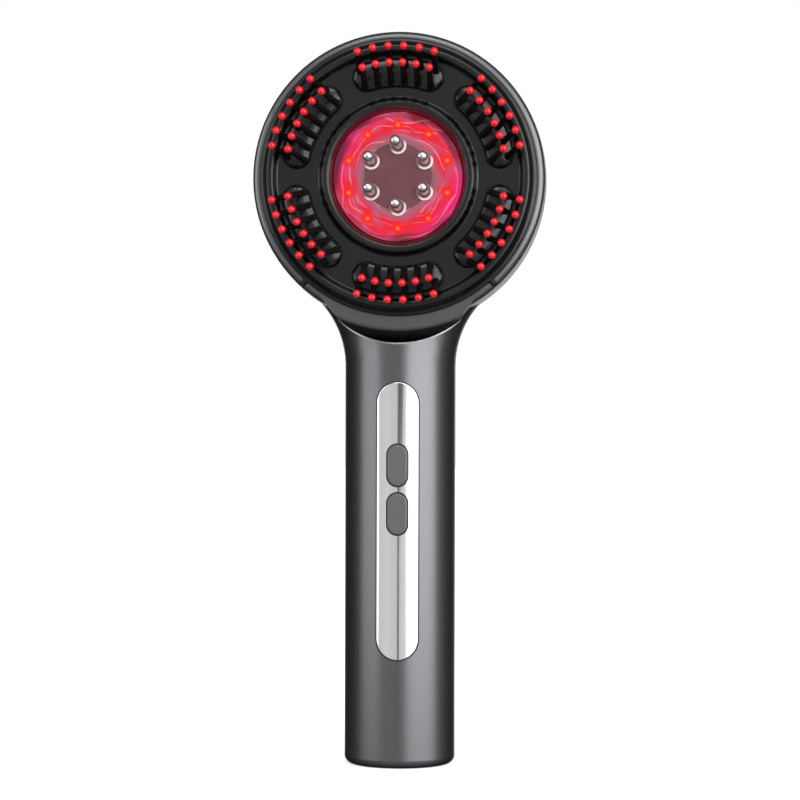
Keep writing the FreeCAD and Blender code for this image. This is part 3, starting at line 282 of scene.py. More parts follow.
# Each tint lies on the one before it: its share, which says where it shows, and its colour.
patch = add_node(tree, "ShaderNodeTexNoise", {"Vector": around, "W": 5.0, "Scale": 2.6, "Detail": 1.0},
                 noise_dimensions="4D")
cool = add_node(tree, "ShaderNodeMapRange", {"Value": patch, "From Min": 0.48, "From Max": 0.66,
                                             "To Max": 0.36}, interpolation_type="SMOOTHSTEP")
slant = add_node(tree, "ShaderNodeVectorMath", {0: around, 1: (-0.866, 0.5, 0.0)}, operation="DOT_PRODUCT")
slant = add_node(tree, "ShaderNodeMath", {0: slant.outputs["Value"], 1: 2.0}, operation="POWER")
corner = add_node(tree, "ShaderNodeMapRange", {"Value": slant, "From Min": 0.45, "From Max": 0.95},
                  interpolation_type="SMOOTHSTEP")
outer = add_node(tree, "ShaderNodeMapRange", {"Value": radius, "From Min": 0.74 * WINDOW_RADIUS,
                                              "From Max": 0.92 * WINDOW_RADIUS, "To Max": 0.6})
magenta = add_node(tree, "ShaderNodeMath", {0: corner, 1: outer}, operation="MULTIPLY")
tints = [(cool, "#a8648c"), (magenta, "#f2127e")]
for seed, width, strength in ((8.0, 0.13, 0.65), (14.0, 0.09, 0.5)):
    drift = add_node(tree, "ShaderNodeTexNoise", {"Vector": around, "W": seed, "Scale": 1.3, "Detail": 1.0},
                     noise_dimensions="4D")
    drift = add_node(tree, "ShaderNodeMath", {0: drift, 1: 4.2}, operation="MULTIPLY")
    phase = add_node(tree, "ShaderNodeMath", {0: radius, 1: 1 / STREAK_PITCH, 2: drift},
                     operation="MULTIPLY_ADD")
    ridge = add_node(tree, "ShaderNodeMath", {0: phase, 1: 0.5}, operation="PINGPONG")
    line = add_node(tree, "ShaderNodeMapRange", {"Value": ridge, "From Max": width, "To Min": strength,
                                                 "To Max": 0.0}, interpolation_type="SMOOTHSTEP")
    shown = add_node(tree, "ShaderNodeTexNoise", {"Vector": around, "W": seed + 3, "Scale": 2.4,
                                                  "Detail": 0.0}, noise_dimensions="4D")
    shown = add_node(tree, "ShaderNodeMapRange", {"Value": shown, "From Min": 0.44, "From Max": 0.58},
                     interpolation_type="SMOOTHSTEP")
    tints.append((add_node(tree, "ShaderNodeMath", {0: line, 1: shown}, operation="MULTIPLY"), "#ff8fa4"))
fading = add_node(tree, "ShaderNodeMath", {0: wobble, 1: 0.28, 2: reach}, operation="MULTIPLY_ADD")
edge = add_node(tree, "ShaderNodeMapRange", {"Value": fading, "From Min": 1.1, "From Max": 1.24,
                                             "To Max": 0.85})
tints += [(halo, "#fa0a0a"), (point, "#ff7a1c"), (edge, "#3a0616")]
colour = glow.outputs["Color"]
for share, tint in tints:
    mixed = add_node(tree, "ShaderNodeMix", {0: share, 6: colour, 7: linear(tint)}, data_type="RGBA")
    colour = mixed.outputs[2]
end_material(tree, add_node(tree, "ShaderNodeBsdfPrincipled", {
    "Base Color": linear("#1a0206"), "Roughness": 0.12, "IOR": 1.49, "Emission Color": colour,
    "Emission Strength": 1.0}))
dress(window, "light_window")


# Centre disc: a thin plate of smoky tinted acrylic, glued onto the window in the middle of the pins. It is
# polished, and its tint is a little cloudy.
TINT_CLOUD = 5 * MM
disc, tree, place = start_material("smoky_acrylic")
cloud = add_node(tree, "ShaderNodeTexNoise", {"Vector": place, "Scale": 1 / TINT_CLOUD, "Detail": 1.0})
shade = add_node(tree, "ShaderNodeMix", {0: cloud, 6: linear("#5c3136"), 7: linear("#784347")},
                 data_type="RGBA")
end_material(tree, add_node(tree, "ShaderNodeBsdfPrincipled", {
    "Base Color": shade.outputs[2], "Roughness": 0.18, "IOR": 1.49, "Coat Weight": 0.6,
    "Coat Roughness": 0.05}))
dress(disc, "centre_plate")


# Dispensing pins and their collars: turned steel pins with polished ball tips, each in a clear moulded
# collar with a painted highlight: a pale crescent on the lower right of its rim.
PIN_COUNT = 6
PIN_CIRCLE = 7.73 * MM
PIN_STEP = 2 * math.pi / PIN_COUNT
CRESCENT_START = 1.62 * MM              # from the middle of the pin
CRESCENT_FADE = 0.1 * MM
# the side where the painted highlight on each collar is strongest, lower right
CRESCENT_HIGHLIGHT_SIDE = (0.6, 0.0, -0.8)
pin_steel = steel("polished_pin_steel", "#d2d2d4", 0.28, 0.5 * MM)
dress(pin_steel, *["pin_%d" % number for number in range(1, PIN_COUNT + 1)])

collar, tree, place = start_material("pale_crescent_collar")
flat = from_axis(tree, place, HEAD_UP)[0]
axes = add_node(tree, "ShaderNodeSeparateXYZ", {"Vector": flat})
turn = add_node(tree, "ShaderNodeMath", {0: axes.outputs["X"], 1: axes.outputs["Z"]}, operation="ARCTAN2")
turn = add_node(tree, "ShaderNodeMath", {0: turn, 1: PIN_STEP / 2}, operation="ADD")
turn = add_node(tree, "ShaderNodeMath", {0: turn, 1: PIN_STEP}, operation="SNAP")
across = add_node(tree, "ShaderNodeMath", {0: turn}, operation="SINE")
upward = add_node(tree, "ShaderNodeMath", {0: turn}, operation="COSINE")
pin_way = add_node(tree, "ShaderNodeCombineXYZ", {"X": across, "Z": upward})
pin_axis = add_node(tree, "ShaderNodeVectorMath", {0: pin_way, "Scale": PIN_CIRCLE}, operation="SCALE")
from_pin = add_node(tree, "ShaderNodeVectorMath", {0: flat, 1: pin_axis}, operation="SUBTRACT")
away = add_node(tree, "ShaderNodeVectorMath", {0: from_pin}, operation="LENGTH").outputs["Value"]
outward = add_node(tree, "ShaderNodeVectorMath", {0: from_pin}, operation="NORMALIZE")
side = add_node(tree, "ShaderNodeVectorMath", {0: outward, 1: CRESCENT_HIGHLIGHT_SIDE}, operation="DOT_PRODUCT")
# Painted highlight: pale on the lower right of each collar's rim, fading towards the upper left.
highlight_share = add_node(tree, "ShaderNodeMapRange", {"Value": side.outputs["Value"], "From Min": -0.25,
                                              "From Max": 0.5, "To Min": 0.08},
                 interpolation_type="SMOOTHSTEP")
rim = add_node(tree, "ShaderNodeMapRange", {"Value": away, "From Min": CRESCENT_START - CRESCENT_FADE,
                                            "From Max": CRESCENT_START + CRESCENT_FADE})
crescent = add_node(tree, "ShaderNodeMath", {0: rim, 1: highlight_share}, operation="MULTIPLY")
pale = add_node(tree, "ShaderNodeMix", {0: crescent, 6: linear("#74484c"), 7: linear("#efe4de")},
                data_type="RGBA")
end_material(tree, add_node(tree, "ShaderNodeBsdfPrincipled", {
    "Base Color": pale.outputs[2], "Roughness": 0.18, "IOR": 1.49, "Coat Weight": 0.5,
    "Coat Roughness": 0.05}))
dress(collar, "pin_collars")


# Pin springs: round spring wire coiled in four turns, one in the valve block's chamber behind each pin, each
# attached to the housing at its full length. On the real comb the pin shortens its spring as it goes in.
HEAD = Vector((0, 0, HEAD_UP))
FORWARD = Vector((0, -1, 0))
SEAM = 0.002 * MM                       # points closer than this are one
COIL_RADIUS = 1.45 * MM
COIL_TURNS = 4
COIL_STEPS = 28                         # in each turn
COIL_BACK = 6.5 * MM                    # in front of the handle's axis
COIL_LENGTH = 4.9 * MM
WIRE = 0.4 * MM
WIRE_SIDES = 12


def closed(made):
    """Merge seams, turn faces outwards and leave edit mode."""
    bpy.ops.mesh.select_all(action="SELECT")
    bpy.ops.mesh.remove_doubles(threshold=SEAM)
    bpy.ops.mesh.normals_make_consistent(inside=False)
    bpy.ops.object.mode_set(mode="OBJECT")
    return made


def smooth(made, angle):
    """Smooth shading that keeps edges sharper than an angle in degrees."""
    bpy.ops.object.select_all(action="DESELECT")
    made.select_set(True)
    bpy.context.view_layer.objects.active = made
    bpy.ops.object.shade_smooth_by_angle(angle=math.radians(angle))


def copied(source, name, matrix):
    """A copy with its own mesh, moved by a matrix."""
    made = source.copy()
    made.data = source.data.copy()
    made.name = made.data.name = name
    made.data.transform(matrix)
    bpy.context.collection.objects.link(made)
    return made


def radial(angle):
    """Direction from the middle of the head, at an angle from straight up."""
    return Vector((math.sin(angle), 0, math.cos(angle)))


bpy.ops.object.select_all(action="DESELECT")
bpy.ops.mesh.primitive_circle_add(vertices=WIRE_SIDES, radius=WIRE / 2, location=(COIL_RADIUS, 0, 0))
coil = bpy.context.object
bpy.ops.object.transform_apply(location=True)
winding = coil.modifiers.new("winding", "SCREW")
winding.axis = "Y"
winding.iterations = COIL_TURNS
winding.screw_offset = (COIL_LENGTH - WIRE) / COIL_TURNS
winding.steps = winding.render_steps = COIL_STEPS
bpy.ops.object.modifier_apply(modifier=winding.name)
bpy.ops.object.mode_set(mode="EDIT")
bpy.ops.mesh.select_all(action="SELECT")
bpy.ops.mesh.fill_holes(sides=0)
closed(coil)
smooth(coil, 50)

wire_steel = steel("spring_wire", "#b0b0b2", 0.25, 0.3 * MM)
for number in range(1, PIN_COUNT + 1):
    seat = HEAD + radial(PIN_STEP * (number - 1)) * PIN_CIRCLE + FORWARD * COIL_BACK
    spring = copied(coil, "coil_%d" % number, Matrix.Translation(seat + FORWARD * (COIL_LENGTH - WIRE / 2)))
    spring.data.materials.clear()
    spring.data.materials.append(wire_steel)
    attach(spring, "housing")
    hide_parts("pin_spring_%d" % number)
    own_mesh(spring)
bpy.data.objects.remove(coil)


# Comb plate: a ring of glossy black ABS that clips onto the head, with a polished crest near its edge and a
# second one around the window. Six windows take the comb pads, and two small catches hold the rim.
PLATE_OUTLINE = [(16.47, 13.4), (16.47, 15.9), (17.5, 17.0), (19.0, 17.0), (19.8, 15.2), (30.65, 15.2),
                 (31.35, 17.2), (32.95, 17.2), (33.95, 14.75), (34.95, 14.6), (34.95, 13.3), (34.35, 13.3),
                 (34.35, 10.0), (32.75, 10.0), (32.75, 13.4),
                 (16.47, 13.4)]         # radius and distance in front of the axis, mm
PLATE_STEPS = 192
ROUNDED_FRONT = 13.5 * MM               # edges in front of this are rounded
CREST_ROUND = 0.48 * MM
SPILL_END = 17.9 * MM                   # red light from the window on the ring around it
GLOSS_HAZE = 7 * MM
GLOSS_PEEL = 1.2 * MM
PAD_COUNT = 6
PAD_CIRCLE = 26.08 * MM
PAD_HALF = 3.6 * MM
PAD_END = math.radians(17.5)
PAD_STEPS = 12                          # along a pad
PAD_END_STEPS = 14                      # around each of its ends
PAD_BACK = 13.4 * MM
WINDOW_GAP = 0.12 * MM
CUT_FRONT = 20 * MM
CUT_BACK = 12 * MM
CATCH_ANGLE = math.radians(42)
CATCH_SIZE = (0.9 * MM, 4.6 * MM, 2.5 * MM)
CATCH_MIDDLE = (34.85 * MM, 12.3 * MM)
CATCH_BEVEL = 0.12 * MM


def trace(name, points):
    """An open line of edges drawn through points, extruded one after the other."""
    bpy.ops.object.select_all(action="DESELECT")
    bpy.ops.mesh.primitive_plane_add(size=MM, location=points[0])
    made = bpy.context.object
    made.name = made.data.name = name
    bpy.ops.object.transform_apply(location=True)
    bpy.ops.object.mode_set(mode="EDIT")
    bpy.ops.mesh.select_all(action="SELECT")
    bpy.ops.mesh.merge(type="CENTER")
    for before, after in zip(points, points[1:]):
        bpy.ops.mesh.extrude_vertices_move(TRANSFORM_OT_translate={"value": Vector(after) - Vector(before)})
    return made


def spun(name, points, centre, axis, angle, steps):
    """A surface spun from a line of points about an axis; stays in edit mode."""
    made = trace(name, points)
    bpy.ops.mesh.select_all(action="SELECT")
    bpy.ops.mesh.spin(steps=steps, angle=angle, center=centre, axis=axis)
    return made


def joined(name, pieces):
    """One object from several."""
    bpy.ops.object.select_all(action="DESELECT")
    for piece in pieces:
        piece.select_set(True)
    bpy.context.view_layer.objects.active = pieces[0]
    bpy.ops.object.join()
    made = bpy.context.object
    made.name = made.data.name = name
    return made


def about_head(pad):
    """Turn from the top pad's place to another pad's, about the middle of the head."""
    return (Matrix.Translation(HEAD) @ Matrix.Rotation(2 * math.pi / PAD_COUNT * pad, 4, "Y")
            @ Matrix.Translation(-HEAD))


def kidney(name, section):
    """A curved bar with round ends on the pads' circle, spun from half of its cross section."""
    start, end = radial(-PAD_END), radial(PAD_END)
    pieces = []
    for way in (1, -1):
        line = [HEAD + start * (PAD_CIRCLE + way * u) + FORWARD * f for u, f in section]
        pieces.append(closed(spun(name + "_side", line, HEAD, FORWARD, 2 * PAD_END, PAD_STEPS)))
    for side, angle in ((end, math.pi), (start, -math.pi)):
        line = [HEAD + side * (PAD_CIRCLE + u) + FORWARD * f for u, f in section]
        middle = HEAD + side * PAD_CIRCLE
        pieces.append(closed(spun(name + "_end", line, middle, FORWARD, angle, PAD_END_STEPS)))
    made = joined(name, pieces)
    bpy.ops.object.mode_set(mode="EDIT")
    return closed(made)


outline = [HEAD + Vector((0, 0, r * MM)) + FORWARD * f * MM for r, f in PLATE_OUTLINE]
ring = closed(spun("comb_ring", outline, HEAD, FORWARD, 2 * math.pi, PLATE_STEPS))
bpy.ops.object.mode_set(mode="EDIT")
bpy.ops.mesh.select_mode(type="EDGE")
bpy.ops.mesh.select_all(action="DESELECT")
bpy.ops.object.mode_set(mode="OBJECT")
for edge in ring.data.edges:
    first, last = [ring.data.vertices[end].co - HEAD for end in edge.vertices]
    runs_around = abs(first.y - last.y) + abs(first.xz.length - last.xz.length) < SEAM / 2
    edge.select = first.y < -ROUNDED_FRONT and runs_around
bpy.ops.object.mode_set(mode="EDIT")
bpy.ops.mesh.bevel(offset=CREST_ROUND, segments=4, affect="EDGES")
bpy.ops.mesh.select_mode(type="VERT")
closed(ring)

window_half = PAD_HALF + WINDOW_GAP
opening = kidney("pad_window", [(0.0, CUT_FRONT), (window_half, CUT_FRONT), (window_half, CUT_BACK),
                                (0.0, CUT_BACK)])
openings = joined("pad_windows", [opening] + [copied(opening, "pad_window_%d" % pad, about_head(pad))
                                              for pad in range(1, PAD_COUNT)])
cut = ring.modifiers.new("pad_windows", "BOOLEAN")
cut.operation = "DIFFERENCE"
cut.solver = "EXACT"
cut.object = openings
bpy.context.view_layer.objects.active = ring
bpy.ops.object.modifier_apply(modifier=cut.name)
bpy.data.objects.remove(openings)

catches = []
for side in (-1, 1):
    way = math.pi - side * CATCH_ANGLE
    middle = HEAD + radial(way) * CATCH_MIDDLE[0] + FORWARD * CATCH_MIDDLE[1]
    bpy.ops.object.select_all(action="DESELECT")
    bpy.ops.mesh.primitive_cube_add(size=1.0, location=middle, rotation=(0, way, 0))
    catch = bpy.context.object
    catch.scale = CATCH_SIZE
    bpy.ops.object.transform_apply(location=True, rotation=True, scale=True)
    bpy.ops.object.mode_set(mode="EDIT")
    bpy.ops.mesh.select_all(action="SELECT")
    bpy.ops.mesh.bevel(offset=CATCH_BEVEL, segments=2, affect="EDGES")
    catches.append(closed(catch))
ring = joined("comb_ring", [ring] + catches)
smooth(ring, 30)
flats = ring.modifiers.new("flat_faces", "WEIGHTED_NORMAL")
flats.keep_sharp = True
bpy.ops.object.modifier_apply(modifier=flats.name)

plate, tree, place = start_material("gloss_black_abs")
haze = add_node(tree, "ShaderNodeTexNoise", {"Vector": place, "Scale": 1 / GLOSS_HAZE, "Detail": 3.0})
rough = add_node(tree, "ShaderNodeMapRange", {"Value": haze, "To Min": 0.22, "To Max": 0.32})
peel = add_node(tree, "ShaderNodeTexNoise", {"Vector": place, "Scale": 1 / GLOSS_PEEL, "Detail": 1.0})
bump = add_node(tree, "ShaderNodeBump", {"Height": peel, "Strength": 0.04, "Distance": 0.05 * MM})
radius = from_axis(tree, place, HEAD_UP)[1]
spill = add_node(tree, "ShaderNodeMapRange", {"Value": radius, "From Min": WINDOW_RADIUS,
                                              "From Max": SPILL_END, "To Min": 0.15, "To Max": 0.0},
                 interpolation_type="SMOOTHSTEP")
end_material(tree, add_node(tree, "ShaderNodeBsdfPrincipled", {
    "Base Color": linear("#08080a"), "Roughness": rough, "IOR": 1.5, "Normal": bump,
    "Emission Color": linear("#e0143c"), "Emission Strength": spill}))
ring.data.materials.clear()
ring.data.materials.append(plate)
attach(ring, "comb_head")
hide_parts("comb_plate")


# Comb pads: six kidney-shaped pads of black elastomer, pressed through windows in the plate from behind,
# each moulded in one with two rows of leaning bristle stems. The pads are glossy and the stems dull. The
# stems' ends are dipped in glossy red, which gathers into a ball with a short cuff.
PAD_FRONT = 17.0 * MM
PAD_ROUND = 1.2 * MM
PAD_CROWN = 0.45 * MM
CROWN_TILT = math.radians(18)
CROWN_STEPS = 4
ROUND_STEPS = 5
FLANGE_HALF = 4.4 * MM
FLANGE_BACK = 12.4 * MM
LEAN = math.radians(17)
TIP_FRONT = 28.0 * MM
ROOT_DEPTH = 0.9 * MM
ROWS = (27.19 * MM, 31.28 * MM)
PITCH = math.radians(7.05)
PER_ROW = 6
STEM_LINE = [(1.05, 0.0), (0.95, 0.7), (0.86, 1.1), (0.8, 1.8), (0.74, 6.0)]    # radius and rise, mm
STEM_END = (0.63 * MM, 0.6 * MM)        # radius, and distance below the ball's middle
STEM_STEPS = 16
CUFF_LINE = [(0.66, -1.25), (0.72, -1.12), (0.73, -0.9)]    # radius and rise from the ball's middle, mm
BALL = 0.97 * MM
BALL_START = math.radians(-40)          # where the ball leaves the cuff
BALL_STEPS = 7
TIP_STEPS = 18
ELASTOMER_GRAIN = 0.9 * MM
DULL_START = 0.8 * MM                   # the stems are fully dull from here on
DIP_POOL = 1.5 * MM

crown_half = PAD_HALF - PAD_ROUND + PAD_ROUND * math.sin(CROWN_TILT)
pad_section = [(crown_half * step / CROWN_STEPS, PAD_FRONT - PAD_CROWN * (step / CROWN_STEPS) ** 2)
               for step in range(CROWN_STEPS)]
for step in range(ROUND_STEPS + 1):
    bend = CROWN_TILT + (math.pi / 2 - CROWN_TILT) * step / ROUND_STEPS
    pad_section.append((PAD_HALF - PAD_ROUND + PAD_ROUND * math.sin(bend),
                        PAD_FRONT - PAD_CROWN + PAD_ROUND * (math.cos(bend) - math.cos(CROWN_TILT))))
pad_section += [(PAD_HALF, PAD_BACK), (FLANGE_HALF, PAD_BACK), (FLANGE_HALF, FLANGE_BACK), (0.0, FLANGE_BACK)]
pad_body = kidney("pad_body", pad_section)

stem_way = FORWARD * math.cos(LEAN) + Vector((0, 0, 1)) * math.sin(LEAN)
stem_rise = (TIP_FRONT - PAD_FRONT + ROOT_DEPTH) / math.cos(LEAN)
stem_line = [(r * MM, rise * MM) for r, rise in STEM_LINE] + [(STEM_END[0], stem_rise - STEM_END[1])]
root = -stem_way * stem_rise
stem = closed(spun("bristle_stem", [root + stem_way * rise + Vector((r, 0, 0)) for r, rise in stem_line],
                   root, stem_way, 2 * math.pi, STEM_STEPS))

tip_line = [(r * MM, rise * MM) for r, rise in CUFF_LINE]
for step in range(BALL_STEPS):
    bend = BALL_START + (math.pi / 2 - BALL_START) * step / BALL_STEPS
    tip_line.append((BALL * math.cos(bend), BALL * math.sin(bend)))
tip_line.append((0.0, BALL))
tip = closed(spun("bristle_tip", [stem_way * rise + Vector((r, 0, 0)) for r, rise in tip_line],
                  (0, 0, 0), stem_way, 2 * math.pi, TIP_STEPS))

spots = []
for row in ROWS:
    for count in range(PER_ROW):
        angle = PITCH * (count - (PER_ROW - 1) / 2)
        spots.append(HEAD + radial(angle) * row + FORWARD * TIP_FRONT)
stems = [copied(stem, "stem_copy", Matrix.Translation(spot)) for spot in spots]
tips = [copied(tip, "tip_copy", Matrix.Translation(spot)) for spot in spots]
for spare in (stem, tip):
    bpy.data.objects.remove(spare)
first_pad = joined("kidney_pad_1", [pad_body] + stems)
first_tips = joined("red_tips_1", tips)
smooth(first_pad, 50)
smooth(first_tips, 60)

elastomer, tree, place = start_material("black_elastomer")
grain = add_node(tree, "ShaderNodeTexNoise", {"Vector": place, "Scale": 1 / ELASTOMER_GRAIN, "Detail": 3.0})
axes = add_node(tree, "ShaderNodeSeparateXYZ", {"Vector": place})
on_stem = add_node(tree, "ShaderNodeMapRange", {"Value": axes.outputs["Y"], "From Min": -PAD_FRONT,
                                                "From Max": -PAD_FRONT - DULL_START})
rough = add_node(tree, "ShaderNodeMath", {0: grain, 1: 0.1, 2: 0.14}, operation="MULTIPLY_ADD")
rough = add_node(tree, "ShaderNodeMath", {0: on_stem, 1: 0.35, 2: rough}, operation="MULTIPLY_ADD")
gloss = add_node(tree, "ShaderNodeMapRange", {"Value": on_stem, "To Min": 0.5, "To Max": 0.15})
bump = add_node(tree, "ShaderNodeBump", {"Height": grain, "Strength": 0.08, "Distance": 0.06 * MM})
end_material(tree, add_node(tree, "ShaderNodeBsdfPrincipled", {
    "Base Color": linear("#080808"), "Roughness": rough, "IOR": 1.5, "Specular IOR Level": gloss,
    "Normal": bump}))

dip, tree, place = start_material("red_dip_coating")
pool = add_node(tree, "ShaderNodeTexNoise", {"Vector": place, "Scale": 1 / DIP_POOL, "Detail": 1.0})
red = add_node(tree, "ShaderNodeMix", {0: pool, 6: linear("#c60c19"), 7: linear("#de1521")}, data_type="RGBA")
end_material(tree, add_node(tree, "ShaderNodeBsdfPrincipled", {
    "Base Color": red.outputs[2], "Roughness": 0.22, "IOR": 1.5, "Coat Weight": 0.2, "Coat Roughness": 0.05}))

for number in range(1, PAD_COUNT + 1):
    pad, tips = first_pad, first_tips
    if number > 1:
        pad = copied(first_pad, "kidney_pad_%d" % number, about_head(number - 1))
        tips = copied(first_tips, "red_tips_%d" % number, about_head(number - 1))
    for piece, node, slot, material in ((pad, "comb_pad_%d", "pad_rubber", elastomer),
                                        (tips, "bristle_tips_%d", "tip_red", dip)):
        piece.data.materials.clear()
        piece.data.materials.append(material)
        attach(piece, "comb_head")
        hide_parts(node % number)


# Control strip: a thin curved strip, plated bright and lightly brushed along its length, glued into a seat in
# the front of the handle. A fine groove runs around it.
BRUSH_WIDTH = 0.35 * MM
BRUSH_STRETCH = 0.02
strip, tree, place = start_material("satin_plated_strip")
along = add_node(tree, "ShaderNodeMapping", {"Vector": place, "Scale": (1.0, 1.0, BRUSH_STRETCH)})
brushed = add_node(tree, "ShaderNodeTexNoise", {"Vector": along, "Scale": 1 / BRUSH_WIDTH, "Detail": 2.0})
rough = add_node(tree, "ShaderNodeMapRange", {"Value": brushed, "To Min": 0.07, "To Max": 0.13})
bump = add_node(tree, "ShaderNodeBump", {"Height": brushed, "Strength": 0.04, "Distance": 0.03 * MM})
end_material(tree, add_node(tree, "ShaderNodeBsdfPrincipled", {
    "Base Color": linear("#e4e4e6"), "Metallic": 1.0, "Roughness": rough, "Normal": bump}))
dress(strip, "control_strip")


# Push buttons: two caps moulded in grey ABS with a satin grain. They come up through the strip and rest on
# the plungers of the switches under it.
dress(moulded("satin_grey_abs", "#585859", 0.4, 0.5 * MM), "power_button", "mode_button")


# Studio: a white floor and surroundings, a strong soft light from the right, a weaker one from the left and
# one from above the camera, with dark surroundings below and behind so that the metal's edges stay dark.
WHITE = (1.0, 1.0, 1.0, 1.0)
FLOOR_SIZE = 6.0
FLOOR_DROP = 0.02 * MM
SHADOW_FADE = (20 * MM, 200 * MM)       # around the foot


def ray_kinds(tree):
    """What kind each ray is, and whether it is mirrored in a gloss or goes through clear plastic."""
    rays = add_node(tree, "ShaderNodeLightPath")
    mirrored = add_node(tree, "ShaderNodeMath", {0: rays.outputs["Is Glossy Ray"],
                                                 1: rays.outputs["Is Transmission Ray"]}, operation="MAXIMUM")
    return rays, mirrored


bpy.ops.object.select_all(action="DESELECT")
bpy.ops.mesh.primitive_plane_add(size=FLOOR_SIZE, location=(0, 0, -FLOOR_DROP))
floor = bpy.context.object
floor.name = "studio_floor"
bpy.ops.object.transform_apply(location=True)
paper, tree, place = start_material("white_paper_sweep")
near = add_node(tree, "ShaderNodeVectorMath", {0: place}, operation="LENGTH")
lift = add_node(tree, "ShaderNodeMapRange", {"Value": near.outputs["Value"], "From Min": SHADOW_FADE[0],
                                             "From Max": SHADOW_FADE[1], "To Min": 0.55, "To Max": 1.0})
rays, mirrored = ray_kinds(tree)
seen = add_node(tree, "ShaderNodeMath", {0: rays.outputs["Is Camera Ray"], 1: lift}, operation="MULTIPLY")
passing = add_node(tree, "ShaderNodeMath", {0: mirrored, 1: rays.outputs["Is Shadow Ray"]},
                   operation="MAXIMUM")
shine = add_node(tree, "ShaderNodeEmission", {"Color": WHITE, "Strength": seen})
matt = add_node(tree, "ShaderNodeBsdfDiffuse", {"Color": linear("#f4f4f4")})
direct = add_node(tree, "ShaderNodeAddShader", {0: shine, 1: matt})
open_to_studio = add_node(tree, "ShaderNodeBsdfTransparent", {"Color": WHITE})
end_material(tree, add_node(tree, "ShaderNodeMixShader", {0: passing, 1: direct, 2: open_to_studio}))
floor.data.materials.append(paper)

# What the gloss sees, by direction: from the camera's side (0) to behind (1), from below (0) to above (1),
# and a dark gap between the lights, wide above the level of the camera and narrow below it.
CAMERA_TO_BEHIND = ((0.0, 0.7), (0.012, 0.75), (0.045, 0.9), (0.25, 0.8), (0.5, 0.36), (0.6, 0.16),
                    (0.7, 0.06), (0.82, 0.02), (0.95, 0.02), (0.975, 0.4), (0.99, 1.0))
BELOW_TO_ABOVE = ((0.0, 0.25), (0.15, 0.45), (0.34, 0.5), (0.4, 0.8), (0.45, 1.0), (0.508, 1.0),
                  (0.522, 0.8), (0.6, 0.75), (1.0, 1.0))
GAP_START = math.radians(-2.5)
GAP_WIDE = math.radians(11)
GAP_NARROW = math.radians(3)
RIGHT_TO_LEFT = 0.35
PLAIN_LIGHT = 0.5                       # what lights the object from all around

world = bpy.data.worlds.new("white_studio")
bpy.context.scene.world = world
world.use_nodes = True
tree = world.node_tree
tree.nodes.clear()
direction = add_node(tree, "ShaderNodeTexCoord").outputs["Generated"]
ways = add_node(tree, "ShaderNodeSeparateXYZ", {"Vector": direction})
levels = []
for axis, stops in (("Y", CAMERA_TO_BEHIND), ("Z", BELOW_TO_ABOVE)):
    share = add_node(tree, "ShaderNodeMath", {0: ways.outputs[axis], 1: 0.5, 2: 0.5},
                     operation="MULTIPLY_ADD")
    ramp = add_node(tree, "ShaderNodeValToRGB", {"Fac": share})
    lay_stops(ramp, [(position, (level, level, level, 1.0)) for position, level in stops])
    levels.append(ramp)
forward = add_node(tree, "ShaderNodeMath", {0: ways.outputs["Y"], 1: -1.0}, operation="MULTIPLY")
bearing = add_node(tree, "ShaderNodeMath", {0: ways.outputs["X"], 1: forward}, operation="ARCTAN2")
beyond = add_node(tree, "ShaderNodeMath", {0: bearing, 1: GAP_START}, operation="SUBTRACT")
width = add_node(tree, "ShaderNodeMapRange", {"Value": ways.outputs["Z"], "From Min": -0.035,
                                              "From Max": -0.01, "To Min": GAP_NARROW, "To Max": GAP_WIDE})
share = add_node(tree, "ShaderNodeMath", {0: beyond, 1: width}, operation="DIVIDE")
ridge = add_node(tree, "ShaderNodeMath", {0: share, 1: 0.5}, operation="SUBTRACT")
ridge = add_node(tree, "ShaderNodeMath", {0: ridge}, operation="ABSOLUTE")
gap = add_node(tree, "ShaderNodeMapRange", {"Value": ridge, "From Min": 0.4, "From Max": 0.6, "To Min": 0.08})
above = add_node(tree, "ShaderNodeMapRange", {"Value": ways.outputs["Z"], "From Min": 0.02, "From Max": 0.04})
gap = add_node(tree, "ShaderNodeMath", {0: gap, 1: above}, operation="MAXIMUM")
level = add_node(tree, "ShaderNodeMath", {0: ways.outputs["X"], 1: RIGHT_TO_LEFT, 2: 1.0},
                 operation="MULTIPLY_ADD")
for factor in (gap, levels[1]):
    level = add_node(tree, "ShaderNodeMath", {0: level, 1: factor}, operation="MULTIPLY")
rays, mirrored = ray_kinds(tree)
lit = add_node(tree, "ShaderNodeBackground", {"Color": WHITE, "Strength": PLAIN_LIGHT})
reflected = add_node(tree, "ShaderNodeBackground", {"Color": levels[0], "Strength": level})
white = add_node(tree, "ShaderNodeBackground", {"Color": WHITE, "Strength": 1.0})
surround = add_node(tree, "ShaderNodeMixShader", {0: mirrored, 1: lit, 2: reflected})
surround = add_node(tree, "ShaderNodeMixShader", {0: rays.outputs["Is Camera Ray"], 1: surround, 2: white})
add_node(tree, "ShaderNodeOutputWorld", {"Surface": surround})

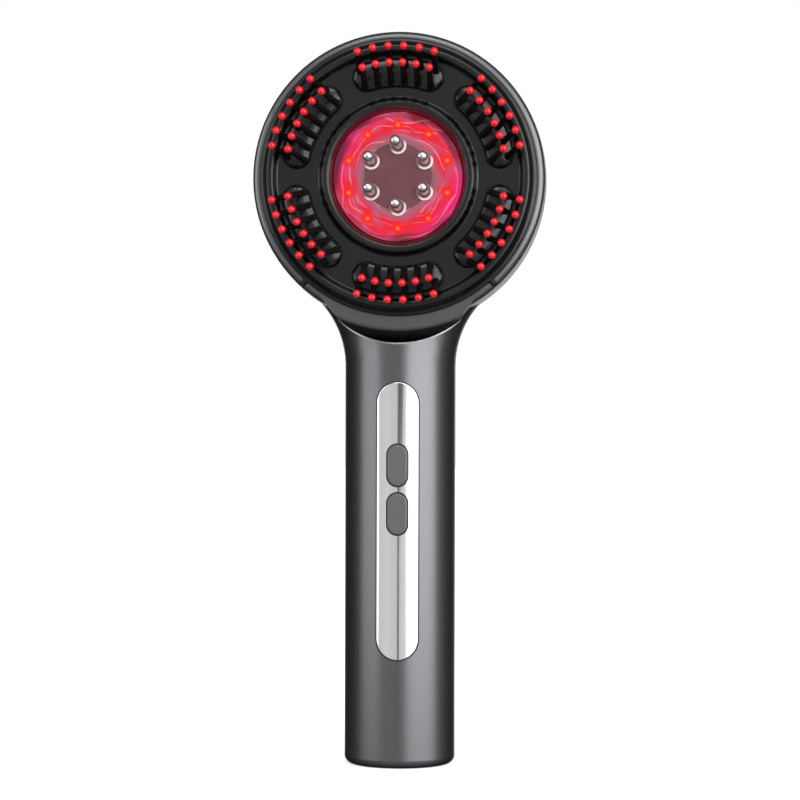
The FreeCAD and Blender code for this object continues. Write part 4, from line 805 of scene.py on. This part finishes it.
LIGHT_DISTANCE = 0.8


def softbox(name, azimuth, elevation, aim, width, tall, radiance):
    """An area light aimed at a height on the handle's axis, in metres; azimuth 0 is the camera's side."""
    light = bpy.data.lights.new(name, "AREA")
    light.shape = "RECTANGLE"
    light.size, light.size_y = width, tall
    light.energy = radiance * math.pi * width * tall
    lamp = bpy.data.objects.new(name, light)
    bpy.context.collection.objects.link(lamp)
    azimuth, elevation = math.radians(azimuth), math.radians(elevation)
    side = Vector((math.sin(azimuth) * math.cos(elevation), -math.cos(azimuth) * math.cos(elevation),
                   math.sin(elevation)))
    lamp.location = side * LIGHT_DISTANCE + Vector((0, 0, aim))
    lamp.rotation_euler = (-side).to_track_quat("-Z", "Y").to_euler()


softbox("right_softbox", azimuth=48, elevation=0, aim=0.26, width=1.0, tall=0.68, radiance=2.6)
softbox("left_softbox", azimuth=-62, elevation=0, aim=0.27, width=0.62, tall=0.66, radiance=1.5)
softbox("top_softbox", azimuth=4, elevation=46, aim=0.14, width=0.55, tall=0.26, radiance=3.4)


# Camera: level, a little to the right of straight on, with a short telephoto lens. Lengths of the lens and
# its sensor are in millimetres, as Blender takes them.
LENS = 119.34
SENSOR = 36.0
CAMERA_SHIFT = -0.0006
CAMERA_DISTANCE = 680 * MM
CAMERA_HEIGHT = 92.83 * MM
CAMERA_AZIMUTH = math.radians(2.9)
CAMERA_ROLL = math.radians(-0.15)
NEAREST = 10 * MM
eye = bpy.data.cameras.new("camera")
eye.lens, eye.sensor_width = LENS, SENSOR
eye.shift_x = CAMERA_SHIFT
eye.clip_start = NEAREST
camera = bpy.data.objects.new("camera", eye)
bpy.context.collection.objects.link(camera)
camera.location = (CAMERA_DISTANCE * math.sin(CAMERA_AZIMUTH), -CAMERA_DISTANCE * math.cos(CAMERA_AZIMUTH),
                   CAMERA_HEIGHT)
camera.rotation_euler = (math.pi / 2, CAMERA_ROLL, CAMERA_AZIMUTH)
bpy.context.scene.camera = camera
bpy.context.scene.view_settings.view_transform = "Standard"
